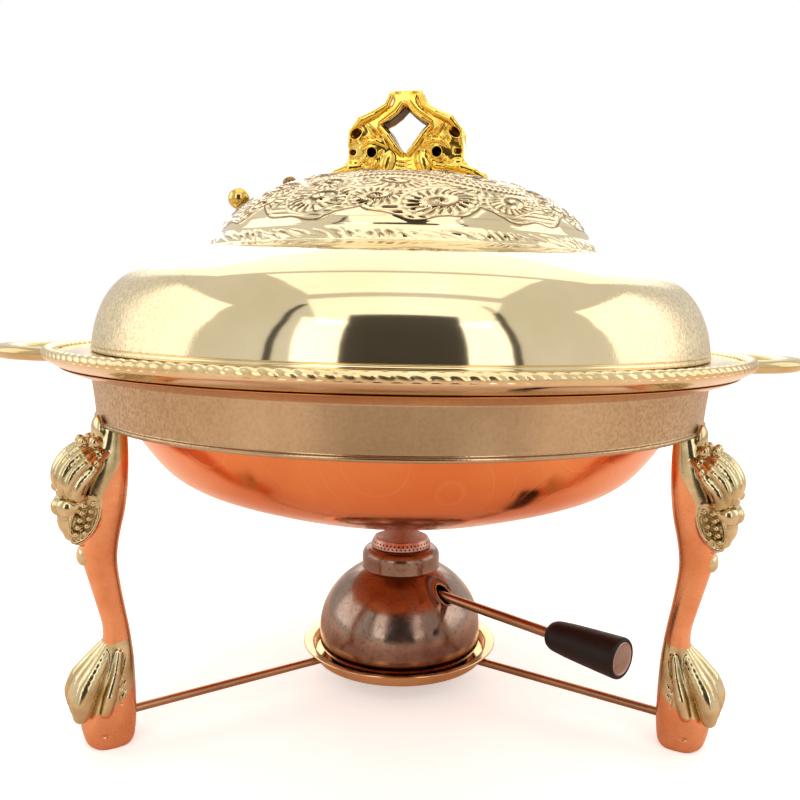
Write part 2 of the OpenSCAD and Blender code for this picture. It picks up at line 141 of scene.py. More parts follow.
# ------------------------------------------------------------------ solids by distance
class Clay:
    """A block of space holding a solid as signed distances in millimetres; negative is inside."""

    def __init__(self, low, high, step):
        self.low, self.step = np.array(low, float), step
        n = [int((b - a) / step) + 1 for a, b in zip(low, high)]
        axes = [low[k] + step * np.arange(n[k], dtype=np.float32) for k in range(3)]
        self.x, self.y, self.z = np.meshgrid(*axes, indexing="ij", sparse=True)
        self.d = np.full(n, 50.0, np.float32)

    def ball(self, centre, radii, turn=0.0):
        """An ellipsoid; turn tips it about Y, in degrees."""
        c, s = math.cos(math.radians(turn)), math.sin(math.radians(turn))
        x, y, z = self.x - centre[0], self.y - centre[1], self.z - centre[2]
        x, z = c * x + s * z, c * z - s * x
        k = np.sqrt((x / radii[0]) ** 2 + (y / radii[1]) ** 2 + (z / radii[2]) ** 2)
        return (k - 1) * min(radii) * 1.15

    def rod(self, a, b, ra, rb):
        """A round bar from a to b that tapers from radius ra to rb."""
        a, b = np.array(a, float), np.array(b, float)
        v = b - a
        x, y, z = self.x - a[0], self.y - a[1], self.z - a[2]
        t = np.clip((x * v[0] + y * v[1] + z * v[2]) / (v @ v), 0, 1)
        return np.sqrt((x - t * v[0]) ** 2 + (y - t * v[1]) ** 2 + (z - t * v[2]) ** 2) - (ra + (rb - ra) * t)

    def add(self, d, soft=0.5):
        """Joins a solid on, with a fillet of about soft millimetres."""
        h = np.clip(0.5 + 0.5 * (self.d - d) / soft, 0, 1)
        self.d = self.d + (d - self.d) * h - soft * h * (1 - h)

    def cut(self, d, soft=0.4):
        h = np.clip(0.5 - 0.5 * (self.d + d) / soft, 0, 1)
        self.d = self.d + (-d - self.d) * h + soft * h * (1 - h)

    def path(self, points, radii, soft=0.4, cut=False):
        """A bent rod through the points, added or cut away."""
        for a, b, ra, rb in zip(points[:-1], points[1:], radii[:-1], radii[1:]):
            (self.cut if cut else self.add)(self.rod(a, b, ra, rb), soft)

    def mesh(self):
        """The solid's surface as points and faces."""
        grid = openvdb.FloatGrid(background=3.0)
        grid.copyFromArray(np.ascontiguousarray(np.clip(self.d / self.step, -3, 3)))
        points, triangles, quads = grid.convertToPolygons(isovalue=0.0, adaptivity=0.0)
        verts = points * self.step + self.low
        return verts, [tuple(q) for q in quads] + [tuple(t) for t in triangles]


def relax(obj, rounds=2, factor=0.5):
    """Evens out a mesh a little, and stores how hollow each point is as the attribute hollow."""
    mesh = obj.data
    n = len(mesh.vertices)
    co = np.zeros(n * 3)
    mesh.vertices.foreach_get("co", co)
    co = co.reshape(-1, 3)
    edges = np.zeros(len(mesh.edges) * 2, np.int64)
    mesh.edges.foreach_get("vertices", edges)
    a, b = edges.reshape(-1, 2).T
    count = np.maximum(np.bincount(a, minlength=n) + np.bincount(b, minlength=n), 1)[:, None]

    def mean(values):
        total = np.zeros_like(values)
        for k in range(values.shape[1]):
            total[:, k] = (np.bincount(a, values[b, k], n) + np.bincount(b, values[a, k], n))
        return total / count

    for _ in range(rounds):
        co = co + factor * (mean(co) - co)
    mesh.vertices.foreach_set("co", co.ravel())
    mesh.update()
    normal = np.zeros(n * 3)
    mesh.vertices.foreach_get("normal", normal)
    normal = normal.reshape(-1, 3)
    far = co
    for _ in range(6):
        far = mean(far)
    # hollow is a cavity measure that the lid, leg and finial materials use for painted shade
    hollow = ((far - co) * normal).sum(1, keepdims=True)
    for _ in range(2):
        hollow = mean(hollow)
    layer = mesh.attributes.new("hollow", "FLOAT", "POINT")
    layer.data.foreach_set("value", (hollow[:, 0] / MM).astype(np.float32))
    return obj


def mark(obj, name, values):
    """Stores a value for each point, which a material reads by name."""
    layer = obj.data.attributes.new(name, "FLOAT", "POINT")
    layer.data.foreach_set("value", np.asarray(values, np.float32))


# ------------------------------------------------------------------ materials
def tone(red, green, blue):
    """A colour as it looks on a screen, 0 to 255, turned into the renderer's linear values."""
    return tuple(((c / 255 + 0.055) / 1.055) ** 2.4 if c > 10 else c / 3294 for c in (red, green, blue))


class Paint:
    """A small helper to wire a procedural material."""

    def __init__(self, name, colour, metallic=1.0, **sockets):
        self.material = bpy.data.materials.new(name)
        self.material.use_nodes = True
        self.tree = self.material.node_tree
        self.shader = self.tree.nodes["Principled BSDF"]
        self.set(Metallic=metallic, Base_Color=(*colour, 1), **sockets)

    def set(self, **sockets):
        for key, value in sockets.items():
            self.shader.inputs[key.replace("_", " ")].default_value = value

    def node(self, kind, settings=(), **inputs):
        """A new node. Inputs go by name, or as i0, i1 and so on, and are links or values."""
        n = self.tree.nodes.new(kind)
        for key, value in dict(settings).items():
            setattr(n, key, value)
        for key, value in inputs.items():
            numbered = key[0] == "i" and key[1:].isdigit()
            socket = n.inputs[int(key[1:]) if numbered else key.replace("_", " ")]
            if hasattr(value, "links"):
                self.tree.links.new(value, socket)
            else:
                socket.default_value = value
        return n

    def place(self):
        return self.node("ShaderNodeTexCoord").outputs["Object"]

    def noise(self, scale, detail=3.0, rough=0.6, stretch=(1, 1, 1)):
        spot = self.node("ShaderNodeMapping", i0=self.place(), Scale=stretch).outputs[0]
        n = self.node("ShaderNodeTexNoise", Vector=spot, Scale=scale, Detail=detail, Roughness=rough)
        return n.outputs["Fac"]

    def attribute(self, name):
        return self.node("ShaderNodeAttribute", {"attribute_name": name}).outputs["Fac"]

    def span(self, value, low, high, to_low=0.0, to_high=1.0):
        """The value stretched from low..high to to_low..to_high and held there beyond the ends."""
        return self.node("ShaderNodeMapRange", i0=value, i1=low, i2=high, i3=to_low, i4=to_high).outputs[0]

    def calc(self, a, b, kind="ADD"):
        return self.node("ShaderNodeMath", {"operation": kind}, i0=a, i1=b).outputs[0]

    def mix(self, fac, a, b):
        n = self.node("ShaderNodeMix", {"data_type": "RGBA"})
        for socket, value in ((n.inputs[0], fac), (n.inputs[6], a), (n.inputs[7], b)):
            if hasattr(value, "links"):
                self.tree.links.new(value, socket)
            else:
                socket.default_value = (*value, 1) if isinstance(value, tuple) else value
        return n.outputs[2]

    def patches(self, scale, detail, rough, a, b):
        """Soft patches of two colours."""
        return self.mix(self.span(self.noise(scale, detail, rough), 0.35, 0.7), a, b)

    def shine(self, scale, detail, rough, low, high):
        """A roughness that drifts between low and high."""
        self.to("Roughness", self.span(self.noise(scale, detail, rough), 0.3, 0.75, low, high))

    def to(self, socket, value):
        self.tree.links.new(value, self.shader.inputs[socket])

    def bump(self, height, strength, distance=0.0003):
        n = self.node("ShaderNodeBump", Height=height, Strength=strength, Distance=distance)
        self.tree.links.new(n.outputs[0], self.shader.inputs["Normal"])


def plated(name, light, dark, roughness, grain=0.0, metallic=1.0):
    """Polished plating with a slow drift of tone and, if asked for, a fine sand-like grain."""
    p = Paint(name, light, metallic)
    drift = p.noise(22, 4, 0.55)
    p.to("Base Color", p.mix(p.span(drift, 0.35, 0.7), light, dark))
    smear = p.noise(60, 5, 0.6, (1, 1, 3))
    p.to("Roughness", p.span(smear, 0.3, 0.75, roughness * 0.7, roughness * 1.4))
    if grain:
        p.bump(p.noise(900, 2, 0.6), grain, 0.0002)
    return p.material


def grained(p, sides, shade, dark, scale, polish, strength):
    """A sand-like grain that comes in with sides, in colour, roughness and bump. Returns the colour."""
    fleck = p.calc(p.span(p.noise(scale, 3, 0.7), 0.42, 0.62), sides, "MULTIPLY")
    p.to("Roughness", p.span(p.calc(sides, p.noise(80, 4, 0.6), "MULTIPLY"), 0.0, 0.5, polish, 0.34))
    p.bump(p.calc(p.noise(650, 2, 0.6), sides, "MULTIPLY"), strength, 0.00035)
    return p.mix(fleck, shade, dark)


def lid_metal():
    """Champagne plating: mirror in front and behind, grain at the sides, and painted shade that darkens the hollows
    of the crown's relief.
    """
    p = Paint("champagne_plate", tone(232, 216, 174))
    axes = p.node("ShaderNodeSeparateXYZ", i0=p.place()).outputs
    wide = p.span(p.calc(axes[0], 0.0, "ABSOLUTE"), 0.075, 0.14)
    sides = p.calc(wide, p.span(axes[2], 0.246, 0.222), "MULTIPLY")
    shade = p.patches(18, 4, 0.55, tone(240, 226, 190), tone(226, 209, 168))
    shade = grained(p, sides, shade, tone(184, 160, 118), 620, 0.075, 0.55)
    # painted shade: the crown's hollows, found by the hollow attribute, are darkened toward brown
    crown = p.span(axes[2], CREASE * MM - 0.0017, CREASE * MM + 0.0013)
    hollow = p.calc(p.span(p.attribute("hollow"), 0.01, 0.11), crown, "MULTIPLY")
    p.to("Base Color", p.mix(hollow, shade, tone(136, 108, 78)))
    return p.material


def ring_metal():
    """The band's duller plating, with the same grain at the sides."""
    p = Paint("ring_plate", tone(210, 180, 138))
    axes = p.node("ShaderNodeSeparateXYZ", i0=p.place()).outputs
    sides = p.span(p.calc(axes[0], 0.0, "ABSOLUTE"), 0.06, 0.13, 0.25, 1.0)
    shade = p.patches(25, 4, 0.55, tone(200, 180, 148), tone(186, 163, 130))
    p.to("Base Color", grained(p, sides, shade, tone(158, 132, 96), 640, 0.10, 0.5))
    return p.material


def bowl_metal():
    """Copper plating with faint spun swirls."""
    p = Paint("copper_plate", tone(246, 156, 96))
    warp = p.noise(14, 3, 0.5)
    spot = p.node("ShaderNodeMapping", i0=p.place(), Scale=(1, 1, 0.6)).outputs[0]
    rings = p.node("ShaderNodeTexVoronoi", Vector=spot, Scale=24.0).outputs["Distance"]
    swirl = p.calc(p.calc(p.calc(rings, 34.0, "MULTIPLY"), warp), 0.0, "SINE")
    line = p.span(swirl, 0.93, 1.0)
    shade = p.patches(20, 4, 0.5, tone(250, 158, 98), tone(240, 138, 78))
    p.to("Base Color", p.mix(p.calc(line, 0.16, "MULTIPLY"), shade, tone(255, 190, 140)))
    p.shine(70, 4, 0.6, 0.10, 0.22)
    p.bump(line, 0.10, 0.0002)
    return p.material


def leg_metal():
    """Copper shank with aged brass ornament; the attribute brass says which. Recesses carry painted shade, darkened
    toward dark brown.
    """
    p = Paint("cast_leg", tone(240, 168, 122))
    brass, hollow = p.attribute("brass"), p.attribute("hollow")
    copper = p.patches(60, 5, 0.6, tone(246, 178, 132), tone(232, 154, 106))
    gold = p.patches(90, 5, 0.6, tone(226, 212, 172), tone(188, 170, 124))
    shade = p.mix(p.span(brass, 0.45, 0.55), copper, gold)
    # painted shade: recesses, found by the hollow attribute, are darkened toward dark brown
    painted_recess_shade = p.span(hollow, 0.05, 0.36)
    p.to("Base Color", p.mix(painted_recess_shade, shade, tone(66, 42, 24)))
    dull = p.calc(p.span(brass, 0.4, 0.6, 0.5, 0.0), p.noise(120, 4, 0.6))
    p.to("Roughness", p.span(dull, 0.3, 1.3, 0.12, 0.34))
    p.bump(p.noise(420, 3, 0.6), 0.14, 0.0002)
    return p.material


def finial_metal():
    """Bright gold with painted shade: darker in the hollows, and near black where the attribute deep marks the
    pierced places.
    """
    p = Paint("bright_gold", tone(240, 196, 80))
    # painted shade: hollows darkened toward a deeper gold
    hollow = p.span(p.attribute("hollow"), 0.03, 0.30)
    shade = p.patches(140, 4, 0.6, tone(250, 220, 118), tone(238, 190, 66))
    shade = p.mix(hollow, shade, tone(198, 146, 58))
    # painted shade: the pierced places and the deepest hollows are painted near black
    deep = p.calc(p.attribute("deep"), p.span(p.attribute("hollow"), 0.40, 0.95), "MAXIMUM")
    p.to("Base Color", p.mix(deep, shade, tone(78, 44, 16)))
    bright = p.span(p.noise(160, 4, 0.6), 0.3, 0.75, 0.10, 0.24)
    p.to("Roughness", p.calc(bright, p.calc(deep, 0.3, "MULTIPLY")))
    p.bump(p.noise(700, 3, 0.6), 0.15, 0.0002)
    return p.material


def tank_metal():
    """Polished steel with pits, fingerprints and a warm tint."""
    p = Paint("tank_steel", tone(150, 120, 104))
    cloud = p.noise(30, 5, 0.6)
    pits = p.span(p.noise(520, 4, 0.75), 0.54, 0.66)
    shade = p.mix(p.span(cloud, 0.35, 0.68), tone(166, 144, 130), tone(124, 92, 80))
    p.to("Base Color", p.mix(p.calc(pits, 0.6, "MULTIPLY"), shade, tone(92, 66, 56)))
    p.shine(120, 5, 0.65, 0.10, 0.34)
    p.bump(p.noise(360, 3, 0.6), 0.10, 0.0002)
    return p.material


def grip_plastic():
    p = Paint("grip_plastic", tone(26, 14, 13), metallic=0.0, Specular_IOR_Level=0.28)
    p.to("Base Color", p.patches(300, 4, 0.6, tone(30, 17, 16), tone(20, 11, 11)))
    p.shine(200, 4, 0.6, 0.42, 0.56)
    p.bump(p.noise(900, 2, 0.6), 0.12, 0.0002)
    return p.material


def flame_head_metal():
    """Warm steel with a darker flat top inside its rim."""
    p = Paint("flame_head", tone(190, 150, 140))
    spot = p.node("ShaderNodeSeparateXYZ", i0=p.place()).outputs
    flat = p.node("ShaderNodeCombineXYZ", i0=spot[0], i1=spot[1]).outputs[0]
    reach = p.node("ShaderNodeVectorMath", {"operation": "LENGTH"}, i0=flat).outputs["Value"]
    edge_tone = p.mix(p.noise(300, 4, 0.6), tone(216, 178, 168), tone(186, 138, 126))
    top_tone = p.mix(p.noise(120, 4, 0.6), tone(150, 98, 66), tone(124, 78, 50))
    p.to("Base Color", p.mix(p.span(reach, 0.0146, 0.0150), top_tone, edge_tone))
    p.shine(200, 4, 0.6, 0.24, 0.42)
    return p.material


def cotton():
    p = Paint("wick_cotton", tone(238, 232, 216), metallic=0.0)
    weave = p.node("ShaderNodeTexWave", Vector=p.place(), Scale=260.0, Distortion=2.0).outputs["Fac"]
    p.to("Base Color", p.mix(weave, tone(240, 234, 220), tone(208, 198, 180)))
    p.set(Roughness=0.95)
    p.bump(weave, 0.5, 0.0004)
    return p.material


FLANGE, CREASE, CROWN = 187.4, 239.2, 279.2      # heights, in millimetres
champagne = lid_metal()
ring_plate = ring_metal()
rope_plate = plated("rope_plate", tone(236, 216, 170), tone(208, 180, 128), 0.20)
flange_plate = plated("flange_plate", tone(234, 214, 176), tone(222, 196, 150), 0.14)
handle_plate = plated("handle_plate", tone(226, 208, 160), tone(196, 172, 122), 0.20, 0.10)
copper = bowl_metal()
seat_copper = plated("seat_copper", tone(220, 160, 110), tone(196, 130, 82), 0.16)
cast = leg_metal()
bright_gold = finial_metal()
brass = plated("plain_brass", tone(196, 164, 96), tone(150, 118, 62), 0.26, 0.10)
aged_brass = plated("aged_brass", tone(176, 146, 98), tone(112, 82, 50), 0.28, 0.12)
knob_gold = plated("knob_gold", tone(228, 204, 128), tone(204, 172, 88), 0.18, 0.06)
tank_steel = tank_metal()
rose_plate = plated("tray_plate", tone(236, 196, 148), tone(214, 166, 116), 0.13)
dark_copper = plated("dark_copper", tone(186, 146, 114), tone(150, 112, 82), 0.30, 0.18)
plain_steel = plated("plain_steel", tone(206, 206, 210), tone(180, 180, 184), 0.28, 0.10)
cap_metal = plated("cap_metal", tone(190, 166, 164), tone(168, 142, 142), 0.36, 0.20)
dark_mark = plated("dark_mark", tone(120, 66, 46), tone(96, 50, 34), 0.45, metallic=0.3)
grip_black = grip_plastic()


def repaint(material, *names):
    """Gives CAD nodes that stay as they are their material."""
    for n in names:
        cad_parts[n].data.materials.clear()
        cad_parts[n].data.materials.append(material)


repaint(dark_copper, "leg_brackets", "rod_front_left", "rod_front_right", "rod_back", "lever_rod")
repaint(plain_steel, "leg_screws", "finial_washer", "finial_screw", "vent_washer")
repaint(flange_plate, "lid_locating_ring")
repaint(brass, "pinion", "wick_rack")
repaint(cotton(), "wick")
repaint(tank_steel, "burner_base", "wick_guide", "lever_bearing", "wick_holder")
repaint(flame_head_metal(), "burner_head")
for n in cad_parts.values():
    n.data.shade_smooth()
    n.data.set_sharp_from_angle(angle=math.radians(30))


# ------------------------------------------------------------------ pan, lid and ring
bowl_line = smooth_line([
    (0, 94.6), (25, 95.6), (50, 98.9), (75, 104.8), (98, 112.2), (114, 118.4), (124, 124.4), (131, 131.2),
    (139, 142), (148.4, 157), (156, 172), (159, 179.4), (159.3, 184.8)], 6)
flange_line = smooth_line([
    (159.3, 184.8), (160.3, 186.1), (162.5, 186.3), (170, 186.3), (175.4, 186.2), (176.3, 185.4),
    (174.3, 183), (173.4, 181.4), (174.4, 180.8), (176, 181), (179.6, 182.9), (183, 185.2), (183, 186.6),
    (181.4, 187.3), (178.4, 187.2), (176, 187.5), (170, 187.5), (162.6, 187.5), (159.6, 187.3), (158.4, 186.2)], 5)
inner_line = offset_line(bowl_line[:-2], 1.2)[::-1]
pan_line = np.vstack([bowl_line, flange_line[1:], inner_line])
pan = revolve("pan_skin", pan_line, copper, "pan", ("pan_bowl",), 256, closed=False)
pan.data.materials.append(flange_plate)
for face in pan.data.polygons:
    middle = face.center / MM
    r = math.hypot(middle.x, middle.y)
    on_flange = r > 158.6 and middle.z > 180
    inside = r < 159 and middle.z > 97 and face.normal.z > 0.05
    if on_flange or inside:
        face.material_index = 1


def rope(name, radius, height, size, twists, body, node):
    """A twisted rope bead: its section carries two strands that wind round the ring."""
    per = 9
    n = twists * per
    turn = np.arange(n) * 2 * math.pi / n
    sides = 18
    a = np.arange(sides) * 2 * math.pi / sides
    phase = (twists * turn[:, None] + 2 * a[None, :]) / 2
    r = size * (0.80 + 0.20 * abs(np.sin(phase)) ** 0.7)
    across, up = radius + r * np.cos(a), height + r * np.sin(a)
    verts = np.stack([across * np.cos(turn)[:, None], across * np.sin(turn)[:, None], up], -1).reshape(-1, 3)
    return relax(make_object(name, verts, grid_faces(n, sides, True, True), rope_plate, body, (node,)), 0)


rope("rope_bead", 181.0, FLANGE - 0.2, 2.78, 174, "pan", "rope_rim")

revolve("ring_band", smooth_line([
    (158.9, 154.4), (159.5, 154), (160.6, 154.1), (161.25, 154.9), (161.1, 155.8), (160.3, 156.4),
    (160.35, 158), (160.8, 164), (161.4, 170), (161.9, 175), (162, 175.9), (161, 176), (160.6, 174),
    (160, 166), (159.2, 157), (158.8, 155.2), (158.9, 154.4)], 5)[:-1], ring_plate, "stand", ("stand_ring",), 256)
revolve("seat_skirt", smooth_line([
    (160.9, 176.1), (162.6, 175.95), (166, 176.5), (172, 178.6), (175.2, 179.9), (176, 180.3), (175.6, 180.6),
    (173.6, 180.5), (170.5, 179.6), (165, 177.7), (161, 177.2), (160.8, 176.6), (160.9, 176.1)], 5)[:-1],
    seat_copper, "stand", ("seat_flange",), 256)

side_line = smooth_line([
    (161.6, 190.2), (161.0, 194), (159.8, 199.8), (158, 205.6), (155, 212.4), (150.4, 219), (144.5, 224.2),
    (134, 229.4), (121, 234.6), (110, 238), (105.6, 239.0)], 5)
crown_line = smooth_line([
    (103.9, 239.7), (101.2, 243), (98, 247.4), (94.2, 252.6), (89.6, 257.6), (83, 262.8), (75, 267.4),
    (65.6, 271.3), (54, 274.6), (40, 277.2), (24, 278.8), (8, CROWN), (0.01, CROWN)], 20)
VENT_BEARING = math.radians(172)
bead_line = np.array([(160.5 + 1.3 * math.cos(t), 188.9 + 1.3 * math.sin(t))
                      for t in np.radians(np.arange(-100, 61, 20))])


def surface_height(radius):
    """Height of the lid's outer surface at a radius."""
    line = np.vstack([side_line, crown_line])[::-1]
    return np.interp(radius, line[:, 0], line[:, 1])


def bell(x, width):
    """1 at x = 0, falling smoothly to nothing past twice the width."""
    return np.exp(-(x / width) ** 2)


def scroll(across, up, wide, tall, turns, spin, combs):
    """One cloud scroll: a wound ridge in an oval with a fan of fine ribs round it, as height and cover."""
    x, y = across / wide, up / tall
    rho = np.sqrt(x * x + y * y)
    phi = np.arctan2(y, x) * spin
    ridge = 0.5 + 0.5 * np.cos(2 * math.pi * (rho ** 0.8 * turns) - phi)
    fan = 0.5 + 0.5 * np.cos(phi * combs + 9 * rho)
    outer = np.clip((rho - 0.46) / 0.08, 0, 1)
    ribs = 0.25 + 0.95 * fan ** 1.2 * np.clip((1.06 - rho) / 0.3, 0, 1)
    height = 1.6 * ridge ** 1.2 * (1 - outer) + outer * ribs
    cover = np.clip((1.0 - rho) / 0.08, 0, 1)
    return height * cover + 0.75 * bell(rho - 0.99, 0.06), np.clip((1.10 - rho) / 0.08, 0, 1)


SCROLL_ROWS = (         # how many, way up from the crease, half width, half height, turns, start, lean
    (18, 25.5, 15.4, 8.8, 1.5, 0.10, 0.16), (9, 66.0, 13.0, 6.4, 1.4, 0.30, 0.0),
    (14, 39.5, 15.8, 8.2, 1.6, 0.42, -0.14), (11, 53.5, 15.0, 7.4, 1.5, 0.15, 0.10))


def relief(angle, climb, radius):
    """Height in millimetres of the raised work on the crown. climb is the way up from the crease."""
    wander = 2.4 * np.sin(3 * angle) + 1.6 * np.sin(7 * angle + 0.6)
    waves = 0.55 * (0.5 + 0.5 * np.cos(climb * 2.2 + 2 * wander))
    height = 0.15 + waves + 0.35 * np.sin(angle * 9 + climb * 0.2) ** 2
    for count, level, wide, tall, turns, offset, lean in SCROLL_ROWS:
        for k in range(count):
            size = 1 + 0.17 * math.sin(k * 2.4 + count)
            centre = (k + offset + 0.12 * math.sin(k * 1.7)) * 2 * math.pi / count
            across = ((angle - centre + math.pi) % (2 * math.pi) - math.pi) * radius
            up = climb - level - 1.7 * math.sin(k * 2.1) - lean * across
            h, cover = scroll(across, up, wide * size, tall * size, turns, 1 if k % 3 else -1, 19)
            height = height * (1 - cover) + h * cover
    # a scaly body that winds through the scrolls
    body = climb - (43 + 8 * np.sin(3 * (angle + 2.3)) + 2 * np.sin(7 * angle))
    run = angle * 70
    scales = abs(np.sin(run * 1.25 + 1.1 * abs(body))) * (0.5 + 0.5 * np.cos(body * 2.4))
    snake = np.sqrt(np.clip(1 - (body / 4.4) ** 2, 0, 1)) * (1.4 + 0.6 * scales)
    where = np.clip((np.sin(3 * (angle + 1.9)) + 0.25) / 0.3, 0, 1)
    cover = np.clip((5.6 - abs(body)) / 0.7, 0, 1) * where
    height = height * (1 - cover) + (snake + 0.05) * cover
    # pointed hills and a low border of grass
    peaks = 11.5 + 7.5 * (1 - abs(np.sin(angle * 5.5 + 0.4))) ** 1.5 + 2.2 * np.sin(angle * 13 + 1) ** 2
    above = np.clip((climb - peaks) / 0.8, 0, 1)
    hill = 1.1 * np.clip((climb - 9.6) / 4.0, 0, 1) ** 0.7
    height = height * above + hill * (1 - above) + 0.35 * bell(climb - peaks, 0.7)
    grass = abs(np.sin(angle * 46 + 3.0 * np.sin(angle * 11) + climb * 0.5)) * abs(np.sin(angle * 13 + 0.8))
    low = bell(climb - 4.6, 2.4)
    height = height + low * (0.85 * grass + 0.30 * np.sin(angle * 31 + climb) ** 2)
    # lower under the vent's plate
    around = (angle - VENT_BEARING + math.pi) % (2 * math.pi) - math.pi
    calm = 1 - 0.5 * bell(around * radius, 17) * np.clip((radius - 40) / 12, 0, 1)
    return height * np.clip(climb / 2, 0, 1) * calm * np.clip((radius - 10) / 18, 0, 1)


def lid_piece():
    """The lid as one thin shell: rolled bead, smooth side and shoulder, and the crown's raised work."""
    turns = 1320
    angle = np.arange(turns) * 2 * math.pi / turns
    outer = np.vstack([bead_line, side_line, crown_line])
    first_crown = len(bead_line) + len(side_line)
    step = np.gradient(outer, axis=0)
    step /= np.linalg.norm(step, axis=1)[:, None]
    normal = np.stack([step[:, 1], -step[:, 0]], 1)
    climb = np.zeros(len(outer))
    climb[first_crown:] = np.cumsum(np.r_[1.4, np.linalg.norm(np.diff(crown_line, axis=0), axis=1)])
    on_crown = (np.arange(len(outer)) >= first_crown)[:, None]
    raised = relief(angle[None, :], climb[:, None], outer[:, :1]) * on_crown
    r = outer[:, :1] + normal[:, :1] * raised
    z = outer[:, 1:] + normal[:, 1:] * raised
    inner = offset_line(np.vstack([side_line, crown_line])[::6], 1.2)[::-1]
    inner = np.vstack([inner, [(159.4, 188.4)]])
    r = np.vstack([r, np.repeat(inner[:, :1], turns, 1)])
    z = np.vstack([z, np.repeat(inner[:, 1:], turns, 1)])
    verts = np.stack([r * np.cos(angle), r * np.sin(angle), z], -1).reshape(-1, 3)
    obj = make_object("lid_skin", verts, grid_faces(len(r), turns, True, True), champagne, "lid",
                      ("lid_skirt", "lid_shoulder", "lid_crown"))
    relax(obj, 0)


lid_piece()


# ------------------------------------------------------------------ handles
HANDLE_ROOT, HANDLE_REACH, HANDLE_HALF, HANDLE_HEIGHT = 172, 44.1, 37.2, 184.0


def handle(name, side, node):
    """Half an oval of flattened bar whose ends run in under the flange."""
    a = np.radians(np.linspace(-88, 88, 72))
    path = np.stack([side * (HANDLE_ROOT + HANDLE_REACH * np.cos(a)), HANDLE_HALF * np.sin(a),
                     np.full(len(a), HANDLE_HEIGHT)], 1)
    wide = 5.5 + 0.3 * np.cos(a) ** 2
    tall = 3.7 + 0.05 * np.cos(a)
    sweep(name, path, np.stack([wide, tall], 1), handle_plate, "pan", (node,), 24, 2.3)


handle("handle_bar_right", 1, "handle_right")
handle("handle_bar_left", -1, "handle_left")


# ------------------------------------------------------------------ legs
LEG_TOP, BAND_R = 153.9, 160.8      # under the band's lower edge, and inside its outer face


